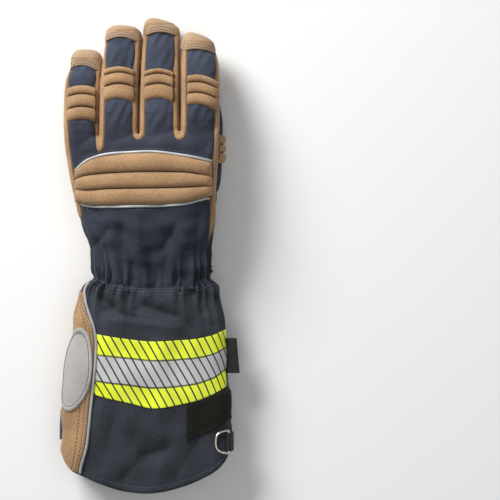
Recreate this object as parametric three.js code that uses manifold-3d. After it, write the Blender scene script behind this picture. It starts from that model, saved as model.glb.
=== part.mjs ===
// Firefighter glove for the left hand, lying palm down.
// Millimetres, +Z up, fingertips towards +Y, thumb towards +X. The floor is at Z = 0.
import * as THREE from 'three';
import { mergeVertices } from 'three/addons/utils/BufferGeometryUtils.js';
import Module from 'manifold-3d';

const wasm = await Module();
wasm.setup();

// Walls and clearances
const HAND_WALL = 2.6;
const CUFF_WALL = 2.4;
const GAP = 0.3;
const SEAM = GAP / 2;
const SEATING = 1.4;
const LAID = 0.55;
const PAD_CREST = 3.4;
const PAD_EDGE = 1.6;
const TAPE_THICKNESS = 1.0;
const SHIELD_THICKNESS = 1.5;
const BADGE_THICKNESS = 1.2;
const PATCH_THICKNESS = 1.4;
const PIPING_RADIUS = 1.1;
const SHIELD_PIPING_RADIUS = 1.4;

// Roundness of the sections (2 is an ellipse, more is squarer) and how many sides they have
const HAND_POWER = 2.7;
const FINGER_POWER = 2.5;
const CUFF_POWER = 2.7;
const PLEAT_COUNT = 8;
const HAND_SIDES = 24;
const FINGER_SIDES = 12;
const TIP_ROUNDNESS = 2.4;
const HAND_INNER_SIDES = 18;
const FINGER_INNER_SIDES = 10;
// The tip's smallest section, as a share of the last full one
const TIP_END = 0.3;
// How far a hollow runs past an open end, and how far cutters reach past the glove
const OPEN_REACH = 4;
const FAR = 120;
// Edges shorter than this are merged away after a cut
const SLIVER = 0.03;
// Places along the hand where the fingers part from it and where its two back cloths meet
const FINGER_ROOT = 105;
const WEBS = 97;
const BACK_SPLIT = 64;
const FINGER_ENDS = 220;
const WRIST_END = -60;
// A cutting sheet through a tube's middle: how much more it leans and how far it overhangs
const SHEET = { lean: 1.3, share: 0.65, side: 12, end: 8 };

// The sharpest corner at which an outline's margin is kept in full
const SHARPEST = 0.3;

// Names the columns of a table
function table(columns, rows) {
  const names = columns.split(' ');
  return rows.map((row) => Object.fromEntries(names.map((name, i) => [name, row[i]])));
}

// Sections of the hand from the wrist to the webs. Lean lifts the thumb side, skew turns the end.
const HAND_ROWS = table('y x width bottom top lean skew pleat', [
  [-34, 2.1, 96, 9.5, 38.5, 0, 0, 1.2],
  [-18, 2.1, 97, 9.5, 40, 1, 0, 1.2],
  [-2, 1.7, 99.5, 9, 43, 3, 0, 0.8],
  [18, 0, 108, 8.5, 47, 5.5, 0, 0],
  [39, -2.6, 116.5, 9, 49.5, 8, 0, 0],
  [59, -4.9, 122, 11.5, 51, 9.5, 0, 0],
  [79.5, -5.8, 127, 15.5, 50.5, 10.5, 1, 0],
  [91, -6.6, 129.5, 18, 49.5, 11.5, 3, 0],
  [98, -6.8, 130, 21.5, 47, 11.5, 4, 0],
  [102.5, -6.8, 130, 27, 42, 11.5, 4, 0],
]);

// Sections of each finger and of the thumb from root to tip
const FINGER_COLUMNS = 'y x width bottom top';
const FINGERS = {
  little: {
    sides: [-90, -40],
    tip: 174.7,
    slant: 0,
    capEdge: 158.2,
    rows: table(FINGER_COLUMNS, [
      [82, -56, 24, 14, 36],
      [98, -58, 29, 8.5, 35],
      [115, -57.8, 29.2, 5.5, 32],
      [132, -57.6, 29.2, 3, 28.5],
      [149, -56.5, 28.8, 1, 25.5],
      [161, -54, 26.4, 0, 22.5],
    ]),
  },
  ring: {
    sides: [-40, -6],
    tip: 195.2,
    slant: 0,
    capEdge: 181.5,
    rows: table(FINGER_COLUMNS, [
      [84, -25.9, 28, 16, 44],
      [104, -25.9, 32.4, 13, 42],
      [132, -25.9, 32.4, 9, 36.5],
      [149, -25.5, 32, 5.5, 32],
      [166, -23.6, 31, 2.5, 28],
      [180, -22.3, 30.8, 0, 24],
    ]),
  },
  middle: {
    sides: [-6, 26.1],
    tip: 200.2,
    slant: -0.27,
    capEdge: 186.2,
    rows: table(FINGER_COLUMNS, [
      [84, 8.9, 29, 20, 49],
      [104, 8.9, 33.8, 18, 47.5],
      [132, 8.9, 33.6, 13, 41.5],
      [157, 9.8, 32.8, 7, 34],
      [178, 9.8, 31, 1.8, 27],
      [187, 10, 30.2, 0, 24],
    ]),
  },
  index: {
    sides: [26.1, 90],
    tip: 187,
    slant: -0.3,
    capEdge: 170.5,
    rows: table(FINGER_COLUMNS, [
      [84, 41, 26, 28, 50],
      [104, 42.9, 32, 27, 53],
      [132, 42.9, 32, 25.5, 51],
      [149, 42.9, 32, 23.5, 48],
      [163, 42.3, 31.4, 18.5, 42.5],
      [173, 41.2, 28.4, 14, 37],
    ]),
  },
};
const THUMB = {
  tip: 144,
  slant: -0.12,
  rows: table(FINGER_COLUMNS, [
    [8, 36, 24, 14, 30],
    [30, 38.5, 29, 7, 31],
    [50, 42, 30, 2.5, 29],
    [72, 46.2, 30.4, 0, 26.2],
    [92, 47.6, 29.4, 0, 25],
    [112, 47.4, 29, 0, 24],
    [130, 46, 27, 0, 22],
  ]),
};

// Sections of the cuff from the wrist to the mouth
const CUFF_ROWS = table('y x width bottom top lean skew pleat', [
  [-10, 2.1, 97.5, 9.3, 41, 2, 0, 1.2],
  [-19, 2.1, 97, 9.5, 40, 1, 0, 1.2],
  [-27, 1, 112, 8.2, 40.5, 0, 0, 1.4],
  [-38, 0.4, 117.5, 6.6, 42, 0, 0, 1.1],
  [-53, 1.2, 124, 5.4, 43, 0, 0, 0.6],
  [-68, 0.4, 129, 4.9, 43, 0, 0, 0.2],
  [-84, -0.9, 134.5, 4.7, 42.5, 0, 0, 0],
  [-104, -1.4, 137.5, 4.5, 42.5, 0, 0, 0],
  [-125, -1.7, 140.5, 4.5, 42, 0, 0, 0],
  [-145, -2.1, 142.5, 4.5, 41.5, 0, 0, 0],
  [-165, -2.1, 142.6, 4.3, 40.5, 0, 0, 0],
  [-182, -2.1, 142.6, 2.8, 39.5, 0, 0, 0],
  [-198, -2.1, 142.6, 0, 38.5, 0, 0, 0],
  [-210, -2.1, 142.6, 0, 38, 0, 0, 0],
]);

// Valleys pressed into the cuff: a segment in plan, its depth and half width
const CUFF_FOLDS = table('side x0 y0 x1 y1 depth reach', [
  ['back', -22, -189, -2, -169, 2.6, 6],
  ['back', -2, -169, 13, -164.5, 2.2, 6],
  ['back', -34, -45.5, 21, -59, 2.2, 7],
  ['back', -40, -40, -30, -36, 1.8, 5],
  ['palm', 2, -72, 2, -225, 4.5, 9],
]);

// Plan outlines
const WRIST_LINE = [
  [-90, -18], [-46, -18.3], [-33.5, -24.2], [0.5, -27.6], [34.5, -25.1], [50.6, -18.3], [90, -18],
];
const HEM_LINE = [
  [-90, -160], [-74, -166], [-70, -175.5], [-66, -181.5], [-58, -185.5], [-41, -192.5], [-22.5, -198.3],
  [-4, -200.4], [12, -199], [30, -194.2], [43, -189], [56, -182], [64.5, -174], [69.5, -166], [90, -160],
];
const BACK_OUTLINE = [
  [-80, -40], [80, -40], [80, 5], [49.7, 11.5], [53.1, 55.7], [54.6, 77], [56.4, 115], [56, 164],
  [53.5, 170.5], [31.5, 170.5], [31, 108], [30, 101.5], [26.5, 98.4], [23.2, 101.5], [22.4, 108],
  [23.2, 178], [22.5, 186.2], [-1.5, 186.2], [-2.6, 178], [-3, 108], [-4, 102], [-7.8, 98.8],
  [-10.8, 102], [-11.6, 108], [-11, 166], [-11.3, 181.5], [-34, 181.5], [-35.6, 166], [-37, 104],
  [-38, 93.5], [-41, 89.6], [-44.4, 92.5], [-45.2, 100], [-45.4, 149], [-45.4, 158.2], [-64.5, 158.2],
  [-68.6, 146], [-69.4, 115], [-64.2, 71], [-58.4, 41.2], [-57.4, 31], [-80, 29],
];
const THUMB_OUTLINE = [
  [21.7, 25], [19.1, 38.7], [20, 49.7], [24.2, 62], [29.6, 76], [29.6, 146], [80, 146], [80, 50],
  [60, 54], [44.6, 50],
];
const THUMB_SEAM = [[47.5, 152], [48.5, 128], [49.5, 100], [48.5, 76], [46.5, 52], [90, 52], [90, 152]];
const THUMB_BASE_OUTLINE = [
  [15.7, -40], [19.1, 20], [21.7, 25], [44.6, 50], [60, 54], [90, 50], [90, -40],
];
// Binding over the seam that sets the thumb into the palm
const BINDING_PATH = [[20.4, 26], [19.1, 38.7], [20, 49.7], [24.2, 62], [30, 72]];
const BINDING_RADIUS = 1.2;
// Height of the sheet between the thumb and what lies over it, at x 10 and at x 80
const THUMB_CEILING = table('y inner outer', [
  [-45, 24, 24.5],
  [18, 27, 33],
  [42, 22, 36],
  [60, 18, 37],
  [72, 14.6, 37.8],
  [80, 14.7, 37.8],
  [100, 17.3, 33.7],
  [125, 18.5, 30.6],
  [146, 15.3, 29.3],
]);

// Large knuckle pad: its middle along the hand, and where its edges and grooves run across the hand
const PAD_MIDDLE = 60;
const KNUCKLE_LINES = table('x lower grooveB grooveA upper', [
  [-63.5, 45.5, 56.3, 64.5, 71.5],
  [-51, 42.9, 55.3, 68, 80.3],
  [-33.6, 42.1, 56.5, 68.9, 84.2],
  [0, 42.5, 56.9, 70.6, 86.3],
  [27, 43.8, 57.5, 70.3, 83.7],
  [53, 50.4, 59.1, 66.9, 78.6],
]);

// Finger pads: their sides, edges and grooves, and how far the middle of each line arches
const FINGER_PADS = table('finger left right lower grooveB grooveA upper arch', [
  ['little', -69.3, -47.6, 113, 124, 135, 142.5, 2.4],
  ['ring', -38.3, -14.6, 129.8, 142.4, 152.2, 156, 3.4],
  ['middle', -3.8, 20.2, 129.8, 142.4, 151, 154.6, 3.2],
  ['index', 32.8, 57.6, 122.4, 131.5, 140.5, 146.5, 4.5],
]);
// Where the points of one rib lie between its two edges
const RIB_STATIONS = [0, 0.2, 0.8, 1];
const THUMB_PAD = { lower: 78.6, grooveB: 87.9, grooveA: 94.8, upper: 103.3, from: -34, to: 44 };

// Reflective band: edges at stations across the cuff
const TAPE_LINES = table('x edge0 edge1 edge2 edge3', [
  [-44.3, -66.7, -84, -106, -118],
  [-16.5, -71, -86.8, -109.5, -124.5],
  [4, -72.7, -88.8, -111.8, -128.8],
  [35.3, -71, -87.1, -109.2, -123.7],
  [52, -68, -84, -104.5, -118],
  [63.8, -63.8, -79, -98, -111.8],
]);
const TAPE_COLOURS = { tape_upper: 0xe0ec22, tape_middle: 0xb9bbb9, tape_lower: 0xe0ec22 };

// Path of the piping along the side shield, on the back of the cuff
const SHIELD_SEAM = table('y x', [
  [-20.5, -49],
  [-30, -54.4],
  [-43, -52.3],
  [-61.6, -46],
  [-76, -44.6],
  [-97.3, -45.5],
  [-117, -48],
  [-149, -51],
  [-160, -52.3],
  [-182, -58.5],
]);
const SHIELD_UNDER_ANGLE = 212;
const SHIELD_OVERHANG = 0.6;
const BADGE = { y: -96.5, half: 35, angle: 153, span: 26, rows: 8, ends: 0.94 };

// Loop patch round the thumb-side edge, from the back to the palm
const LOOP_PATCH_LINES = table('degrees top bottom', [
  [68, -125.5, -157],
  [54, -121.2, -150.5],
  [40, -117.2, -146.5],
  [18, -113.5, -140],
  [0, -114, -138],
  [-30, -117, -146],
]);

// Hard pieces and webbing
const WIRE_SIDES = 6;
const PIPING_STEPS = 11;
const SHIELD_PIPING_STEPS = 14;
const BAR_SIDES = 12;
const D_RING = {
  y: -157.8, bar: 21, depth: 13.7, wire: 1.1, degrees: 25, loopWidth: 15.5, bulge: 0.8, flare: 0.7, steps: 12,
  barStations: [-0.6, 0, 0.6],
};
const WEBBING = { thickness: 1.2, clearance: 0.5, columns: 4, past: 2 };
const STRAP = { low: 2.4, high: 3.9, right: 44, y: -144, width: 28 };
const STRAP_RING = { x: -53.4, z: 3.4, edgeDegrees: 219, wire: 1.2, height: 33.4, corner: 0.2, cut: 0.05 };
const TAB = {
  top: 2.1, base: 0.5, root: 0.2, panelX: [48.5, 58.5], ribX: [25.5, 42], ribY: [-170, -134], ribCount: 6,
};
const TAB_OUTLINE = [
  [21.5, -130], [30, -127.5], [42, -125.3], [58, -133], [61, -136], [61.2, -174], [58, -178.4],
  [46.5, -180.6], [34, -178.6], [22.5, -172.5],
];
const TAG = { top: -71, bottom: -99.8, topReach: 73.5, bottomReach: 76.6, degrees: 6, thickness: 1.1 };

const COLOURS = {
  tan: 0xba9068,
  navy: 0x3a404e,
  silver: 0xb9bbb9,
  pale: 0xd8d9d6,
  black: 0x1f1e1b,
  grey: 0xb5b2ae,
  nickel: 0xc9c3b8,
  rubber: 0x4a4a46,
};
const METAL = { roughness: 0.3, metalness: 0.9 };

const glove = new THREE.Group();

// Interpolates a table at a value of one of its columns
function at(rows, key, value) {
  const rising = rows[rows.length - 1][key] > rows[0][key];
  const sorted = rising ? rows : [...rows].reverse();
  let i = 0;
  while (i < sorted.length - 2 && sorted[i + 1][key] < value) i += 1;
  const low = sorted[i];
  const high = sorted[i + 1];
  const t = THREE.MathUtils.clamp((value - low[key]) / (high[key] - low[key]), 0, 1);
  const between = (name) => THREE.MathUtils.lerp(low[name], high[name], t);
  return Object.fromEntries(Object.keys(low).map((name) => [name, between(name)]));
}

// A soft tube: its sections, how square they are and how many sides it has
function tube(rows, power, sides, extras = {}) {
  return { rows, power, sides, folds: [], ...extras };
}

// Adds the rounded tip to a finger's sections
function fingerTube({ rows, tip, slant }) {
  const base = rows[rows.length - 1];
  const length = tip - base.y;
  const domeRows = [0.5, 0.85, 1].map((reach) => {
    const scale = Math.max((1 - reach ** TIP_ROUNDNESS) ** (1 / TIP_ROUNDNESS), TIP_END);
    return { ...base, y: base.y + length * reach, scale, reach };
  });
  return tube([...rows, ...domeRows], FINGER_POWER, FINGER_SIDES, { slant });
}

const signedPower = (value, power) => Math.sign(value) * Math.abs(value) ** power;

// How far a fold presses the skin at a place in plan
function foldDepth(folds, side, x, y) {
  let depth = 0;
  for (const fold of folds.filter((entry) => entry.side === side)) {
    const dx = fold.x1 - fold.x0;
    const dy = fold.y1 - fold.y0;
    const t = THREE.MathUtils.clamp(((x - fold.x0) * dx + (y - fold.y0) * dy) / (dx * dx + dy * dy), 0, 1);
    const distance = Math.hypot(x - fold.x0 - t * dx, y - fold.y0 - t * dy);
    depth = Math.max(depth, fold.depth * Math.exp(-((distance / fold.reach) ** 2)));
  }
  return depth;
}

// A point on a tube's skin: angle 0 is the thumb side, 90 degrees the back, 270 degrees the palm
function skin(form, section, degrees, grow) {
  const angle = THREE.MathUtils.degToRad(degrees);
  const c = signedPower(Math.cos(angle), 2 / form.power);
  const n = signedPower(Math.sin(angle), 2 / form.power);
  const scale = section.scale ?? 1;
  const reach = section.reach ?? 0;
  const pleat = (section.pleat ?? 0) * Math.cos(PLEAT_COUNT * angle);
  const half = (section.width / 2 + grow + pleat) * scale;
  const tall = ((section.top - section.bottom) / 2 + grow + pleat) * scale;
  const x = section.x + half * c;
  const y = section.y + grow * reach + (form.slant ?? 0) * half * c * reach + (section.skew ?? 0) * c;
  const middle = (section.top + section.bottom) / 2;
  const press = n > 0 ? -foldDepth(form.folds, 'back', x, y) : foldDepth(form.folds, 'palm', x, y);
  return new THREE.Vector3(x, y, middle + tall * n + (section.lean ?? 0) * c + press * Math.abs(n));
}

// The same tube for its hollow: fewer sections and sides, no pleats, and longer at an open end
function hollowOf(form) {
  const last = form.rows.length - 1;
  const kept = form.rows.filter((row, i) => i === 0 || i % 2 === last % 2 || row.reach === 0.5);
  const rows = kept.map((row) => ({ ...row, pleat: 0 }));
  const outward = Math.sign(rows[0].y - rows[1].y) * OPEN_REACH;
  rows[0].y += form.openStart ? outward : 0;
  rows[rows.length - 1].y -= form.openEnd ? outward : 0;
  return { ...form, rows, sides: form.innerSides ?? FINGER_INNER_SIDES };
}

const skinAt = (form, y, degrees, grow) => skin(form, at(form.rows, 'y', y), degrees, grow);

// The angle at which the upper skin passes over a place in plan
function backAngle(form, x, y) {
  const section = at(form.rows, 'y', y);
  const c = THREE.MathUtils.clamp((x - section.x) / (section.width / 2), -1, 1);
  return THREE.MathUtils.radToDeg(Math.acos(signedPower(c, form.power / 2)));
}

// A geometry from points and triangles
function geometryOf(points, faces) {
  const geometry = new THREE.BufferGeometry();
  const values = points.flatMap((p) => [p.x, p.y, p.z]);
  geometry.setAttribute('position', new THREE.Float32BufferAttribute(values, 3));
  geometry.setIndex(faces.flat());
  return geometry;
}

// A manifold solid from a closed geometry
function solidOf(geometry) {
  const bare = geometry.clone();
  bare.deleteAttribute('normal');
  bare.deleteAttribute('uv');
  const merged = mergeVertices(bare, 1e-4);
  const mesh = new wasm.Mesh({
    numProp: 3,
    vertProperties: Float32Array.from(merged.attributes.position.array),
    triVerts: Uint32Array.from(merged.index.array),
  });
  return new wasm.Manifold(mesh);
}

// A geometry from the largest body of a manifold solid, without the crumbs that a slanting cut leaves
function geometryFrom(solid) {
  const bodies = solid.asOriginal().simplify(SLIVER).decompose().sort((a, b) => b.volume() - a.volume());
  const mesh = bodies[0].getMesh();
  const geometry = new THREE.BufferGeometry();
  geometry.setAttribute('position', new THREE.BufferAttribute(Float32Array.from(mesh.vertProperties), 3));
  geometry.setIndex(new THREE.BufferAttribute(Uint32Array.from(mesh.triVerts), 1));
  return geometry;
}

// Skins a stack of rings that all have the same number of points
function skinRings(rings) {
  const sides = rings[0].length;
  const points = rings.flat();
  const faces = [];
  for (let i = 0; i < rings.length - 1; i += 1) {
    for (let k = 0; k < sides; k += 1) {
      const a = i * sides + k;
      const b = i * sides + ((k + 1) % sides);
      faces.push([a, a + sides, b], [b, a + sides, b + sides]);
    }
  }
  const last = (rings.length - 1) * sides;
  for (let k = 1; k < sides - 1; k += 1) {
    faces.push([0, k, k + 1], [last, last + k + 1, last + k]);
  }
  return geometryOf(points, faces);
}

// The solid of a tube, its skin moved out by grow
function loft(form, grow) {
  const rising = form.rows[form.rows.length - 1].y > form.rows[0].y;
  const rows = rising ? form.rows : [...form.rows].reverse();
  const rings = rows.map((section) =>
    Array.from({ length: form.sides }, (_, k) => skin(form, section, (360 * k) / form.sides, grow)));
  return solidOf(skinRings(rings));
}

// The solid above a plan outline, between two heights
function prism(outline, low = -20, high = FAR) {
  const shape = new THREE.Shape(outline.map(([x, y]) => new THREE.Vector2(x, y)));
  const geometry = new THREE.ExtrudeGeometry(shape, { depth: high - low, bevelEnabled: false });
  geometry.translate(0, 0, low);
  return solidOf(geometry);
}

// Moves each side of a plan outline out by a distance, and less at sharp corners
function offset(outline, distance) {
  const turn = THREE.ShapeUtils.area(outline.map(([x, y]) => ({ x, y }))) > 0 ? 1 : -1;
  return outline.map(([x, y], i) => {
    const [px, py] = outline[(i + outline.length - 1) % outline.length];
    const [nx, ny] = outline[(i + 1) % outline.length];
    const before = new THREE.Vector2(y - py, px - x).normalize();
    const after = new THREE.Vector2(ny - y, x - nx).normalize();
    const miter = before.clone().add(after);
    miter.multiplyScalar((distance * turn) / Math.max(miter.lengthSq() / 2, SHARPEST));
    return [x + miter.x, y + miter.y];
  });
}

// The solid between a sloping sheet and a far height
function slab(rows, left, right, far) {
  const rings = rows.map(({ y, inner, outer }) => [
    new THREE.Vector3(right, y, far), new THREE.Vector3(right, y, outer),
    new THREE.Vector3(left, y, inner), new THREE.Vector3(left, y, far),
  ]);
  const geometry = skinRings(rings);
  const solid = solidOf(geometry);
  return solid.volume() > 0 ? solid : solidOf(flipped(geometry));
}

function flipped(geometry) {
  const turned = geometry.clone();
  const index = Array.from(turned.index.array);
  for (let i = 0; i < index.length; i += 3) [index[i], index[i + 1]] = [index[i + 1], index[i]];
  turned.setIndex(index);
  return turned;
}

// The half of a tube above its middle, moved up by lift, as wide as the tube and beyond
function upperHalf(form, lift) {
  const rows = form.rows.map((section) => {
    const middle = (section.top + section.bottom) / 2 + lift;
    const lean = (section.lean ?? 0) * SHEET.lean;
    return { y: section.y, inner: middle - lean, outer: middle + lean };
  });
  rows[0].y -= SHEET.end;
  rows[rows.length - 1].y += SHEET.end;
  const reach = form.rows[0].width * SHEET.share + SHEET.side;
  const middle = form.rows[0].x;
  return slab(rows, middle - reach, middle + reach, FAR);
}

// A thin piece reaching into a tube's skin: place gives its height, angle and thickness at u, v
function patch(form, columns, rows, lift, place, seating = SEATING) {
  const inner = [];
  const outer = [];
  for (let j = 0; j <= rows; j += 1) {
    for (let i = 0; i <= columns; i += 1) {
      const { y, degrees, thickness } = place(i / columns, j / rows);
      inner.push(skinAt(form, y, degrees, lift - seating));
      outer.push(skinAt(form, y, degrees, lift + thickness));
    }
  }
  const stride = columns + 1;
  const count = inner.length;
  const faces = [];
  for (let j = 0; j < rows; j += 1) {
    for (let i = 0; i < columns; i += 1) {
      const a = j * stride + i;
      const b = a + 1;
      const c = a + stride;
      const d = c + 1;
      faces.push([a, b, c], [b, d, c], [count + a, count + c, count + b], [count + b, count + c, count + d]);
    }
  }
  const rim = [];
  for (let i = 0; i < columns; i += 1) rim.push(i);
  for (let j = 0; j < rows; j += 1) rim.push(j * stride + columns);
  for (let i = columns; i > 0; i -= 1) rim.push(rows * stride + i);
  for (let j = rows; j > 0; j -= 1) rim.push(j * stride);
  rim.forEach((a, i) => {
    const b = rim[(i + 1) % rim.length];
    faces.push([a, count + a, b], [b, count + a, count + b]);
  });
  const geometry = geometryOf([...inner, ...outer], faces);
  return solidOf(geometry).volume() > 0 ? geometry : flipped(geometry);
}

// A round cord through points, with flat ends
function cord(points, radius, sides, steps) {
  const circle = new THREE.Shape();
  circle.absarc(0, 0, radius, 0, Math.PI * 2, false);
  const path = new THREE.CatmullRomCurve3(points);
  return new THREE.ExtrudeGeometry(circle, {
    steps, curveSegments: sides / 2, bevelEnabled: false, extrudePath: path,
  });
}

// A closed wire: a ring of round sections along points that return to the start
function closedWire(points, radius, sides, normal) {
  const count = points.length;
  const rings = points.map((point, i) => {
    const ahead = points[(i + 1) % count].clone().sub(points[(i + count - 1) % count]).normalize();
    const side = new THREE.Vector3().crossVectors(ahead, normal).normalize();
    return Array.from({ length: sides }, (_, k) => {
      const angle = (2 * Math.PI * k) / sides;
      const across = side.clone().multiplyScalar(radius * Math.cos(angle));
      return point.clone().add(across).addScaledVector(normal, radius * Math.sin(angle));
    });
  });
  const faces = [];
  for (let i = 0; i < count; i += 1) {
    for (let k = 0; k < sides; k += 1) {
      const a = i * sides + k;
      const b = i * sides + ((k + 1) % sides);
      const c = ((i + 1) % count) * sides + k;
      const d = ((i + 1) % count) * sides + ((k + 1) % sides);
      faces.push([a, c, b], [b, c, d]);
    }
  }
  const geometry = geometryOf(rings.flat(), faces);
  return solidOf(geometry).volume() > 0 ? geometry : flipped(geometry);
}

// A bar along Y
function barAlongY(center, radius, length, sides) {
  const geometry = new THREE.CylinderGeometry(radius, radius, length, sides);
  geometry.translate(center.x, center.y, center.z);
  return solidOf(geometry);
}

// A piece with everything below a base solid cut away
function seated(geometry, base) {
  return geometryFrom(solidOf(geometry).subtract(base));
}

function addPiece(name, geometry, colour, { roughness = 0.8, metalness = 0 } = {}) {
  const material = new THREE.MeshStandardMaterial({ color: colour, roughness, metalness });
  const mesh = new THREE.Mesh(geometry, material);
  mesh.name = name;
  glove.add(mesh);
}

// Hand: one hollow shell, later cut into palm, backs, fingers, caps and thumb pieces
const hand = tube(HAND_ROWS, HAND_POWER, HAND_SIDES, { openStart: true, innerSides: HAND_INNER_SIDES });
const fingerNames = Object.keys(FINGERS);
const fingers = Object.fromEntries(fingerNames.map((name) => [name, fingerTube(FINGERS[name])]));
const thumb = fingerTube(THUMB);
const handTubes = [hand, ...Object.values(fingers), thumb];

function joined(forms, grow) {
  return forms.map((form) => loft(form, grow)).reduce((sum, solid) => sum.add(solid));
}

function lineAbove(line, shift) {
  return [...line.map(([x, y]) => [x, y + shift]), [90, 260], [-90, 260]];
}

function lineBelow(line, shift) {
  return [...line.map(([x, y]) => [x, y + shift]), [90, -260], [-90, -260]];
}

const handShell = joined(handTubes, 0)
  .subtract(joined(handTubes.map(hollowOf), -HAND_WALL))
  .intersect(prism(lineAbove(WRIST_LINE, SEAM)));

// The finger caps and the back panel, each grown by a margin
function capRegion(name, margin) {
  const { capEdge, sides } = FINGERS[name];
  const [left, right] = sides;
  const near = capEdge + GAP - margin;
  const outline = [[left, near], [right, near], [right, FINGER_ENDS], [left, FINGER_ENDS]];
  return prism(outline).intersect(upperHalf(fingers[name], -margin));
}

function between(low, high) {
  return prism([[-90, low], [90, low], [90, high], [-90, high]]);
}

function backRegion(margin) {
  let above = upperHalf(hand, -margin).intersect(between(WRIST_END, WEBS));
  for (const [name, { sides: [left, right] }] of Object.entries(FINGERS)) {
    const near = WEBS - SEAM;
    const outline = [[left, near], [right, near], [right, FINGER_ENDS], [left, FINGER_ENDS]];
    above = above.add(upperHalf(fingers[name], -margin).intersect(prism(outline)));
  }
  return prism(offset(BACK_OUTLINE, margin)).intersect(above);
}

function thumbRegion(outline, margin) {
  const ceiling = THUMB_CEILING.map(({ y, inner, outer }) => {
    return { y, inner: inner + margin, outer: outer + margin };
  });
  return prism(offset(outline, margin)).intersect(slab(ceiling, 10, 80, -20));
}

let palmShell = handShell.subtract(backRegion(SEAM));
for (const name of fingerNames) palmShell = palmShell.subtract(capRegion(name, SEAM));
for (const outline of [THUMB_OUTLINE, THUMB_BASE_OUTLINE]) {
  palmShell = palmShell.subtract(thumbRegion(outline, SEAM));
}

const thumbWhole = thumbRegion(THUMB_OUTLINE, -SEAM).add(thumbRegion(THUMB_BASE_OUTLINE, -SEAM));
const backPanel = handShell.intersect(backRegion(-SEAM)).subtract(thumbWhole);

// Leather and cloth part at the finger roots, so that each finger is a piece of its own
const pastRoots = between(FINGER_ROOT + SEAM, FINGER_ENDS);
const palmBody = palmShell.intersect(between(WRIST_END, FINGER_ROOT - SEAM));
addPiece('palm_shell', geometryFrom(palmBody), COLOURS.tan);

// The back is two cloths that meet under the large pad
const belowPad = between(WRIST_END, BACK_SPLIT - SEAM);
const abovePad = between(BACK_SPLIT + SEAM, FINGER_ROOT - SEAM);
addPiece('hand_back_panel', geometryFrom(backPanel.intersect(belowPad)), COLOURS.navy);
addPiece('knuckle_back_panel', geometryFrom(backPanel.intersect(abovePad)), COLOURS.navy);

const fingerRegion = (name) => loft(fingers[name], GAP).intersect(pastRoots);

for (const name of fingerNames) {
  addPiece(`${name}_front`, geometryFrom(palmShell.intersect(fingerRegion(name))), COLOURS.tan);
  addPiece(`${name}_back`, geometryFrom(backPanel.intersect(fingerRegion(name))), COLOURS.navy);
}

for (const name of fingerNames) {
  addPiece(`${name}_cap`, geometryFrom(handShell.intersect(capRegion(name, -SEAM))), COLOURS.tan);
}

// Thumb: tan front, navy outer side, navy heel
const thumbTube = handShell.intersect(thumbRegion(THUMB_OUTLINE, -SEAM));
const thumbFront = thumbTube.subtract(prism(offset(THUMB_SEAM, SEAM)));
const thumbBack = thumbTube.intersect(prism(offset(THUMB_SEAM, -SEAM)));
const thumbBase = handShell.intersect(thumbRegion(THUMB_BASE_OUTLINE, -SEAM));
addPiece('thumb_shell', geometryFrom(thumbFront), COLOURS.tan);
addPiece('thumb_back_panel', geometryFrom(thumbBack), COLOURS.navy);
addPiece('thumb_base_panel', geometryFrom(thumbBase), COLOURS.navy);

// Knuckle pads: ribs pillowed between the grooves
const handBase = joined(handTubes, GAP);

// Row heights and thicknesses of three ribs between four lines, given at u across the pad
function ribRows(lines) {
  const rows = [];
  for (let rib = 0; rib < lines.length - 1; rib += 1) {
    for (const t of RIB_STATIONS.slice(rib === 0 ? 0 : 1)) {
      const thickness = t === 0 || t === 1 ? PAD_EDGE : PAD_CREST;
      rows.push({ y: THREE.MathUtils.lerp(lines[rib], lines[rib + 1], t), thickness });
    }
  }
  return rows;
}

const RIB_ROW_COUNT = 3 * (RIB_STATIONS.length - 1);

function ribbedPad(form, columns, placeLines) {
  const geometry = patch(form, columns, RIB_ROW_COUNT, GAP, (u, v) => {
    const { lines, degreesAt } = placeLines(u);
    const row = ribRows(lines)[Math.round(v * RIB_ROW_COUNT)];
    return { y: row.y, degrees: degreesAt(row.y), thickness: row.thickness };
  });
  return seated(geometry, handBase);
}

const padLeft = KNUCKLE_LINES[0].x;
const padRight = KNUCKLE_LINES[KNUCKLE_LINES.length - 1].x;
const padTurn = [padLeft, padRight].map((x) => backAngle(hand, x, PAD_MIDDLE));
addPiece('knuckle_pad', ribbedPad(hand, 9, (u) => {
  const x = skinAt(hand, PAD_MIDDLE, THREE.MathUtils.lerp(...padTurn, u), 0).x;
  const line = at(KNUCKLE_LINES, 'x', x);
  return {
    lines: [line.lower, line.grooveB, line.grooveA, line.upper],
    degreesAt: (y) => backAngle(hand, x, y),
  };
}), COLOURS.tan);

for (const pad of FINGER_PADS) {
  const form = fingers[pad.finger];
  addPiece(`${pad.finger}_pad`, ribbedPad(form, 3, (u) => {
    const x = THREE.MathUtils.lerp(pad.left, pad.right, u);
    const arch = pad.arch * (1 - (2 * u - 1) ** 2);
    return {
      lines: [pad.lower, pad.grooveB, pad.grooveA, pad.upper].map((y) => y + arch),
      degreesAt: (y) => backAngle(form, x, y),
    };
  }), COLOURS.tan);
}

addPiece('thumb_pad', ribbedPad(thumb, 3, (u) => ({
  lines: [THUMB_PAD.lower, THUMB_PAD.grooveB, THUMB_PAD.grooveA, THUMB_PAD.upper],
  degreesAt: () => THREE.MathUtils.lerp(THUMB_PAD.from, THUMB_PAD.to, u),
})), COLOURS.tan);

// Piping above and below the large pad
function knucklePiping(column, shift) {
  const points = Array.from({ length: PIPING_STEPS + 1 }, (_, i) => {
    const x = skinAt(hand, PAD_MIDDLE, THREE.MathUtils.lerp(...padTurn, i / PIPING_STEPS), 0).x;
    const y = at(KNUCKLE_LINES, 'x', x)[column] + shift;
    return skinAt(hand, y, backAngle(hand, x, y), PIPING_RADIUS + LAID + 0.3);
  });
  return cord(points, PIPING_RADIUS, WIRE_SIDES, points.length - 1);
}

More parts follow.
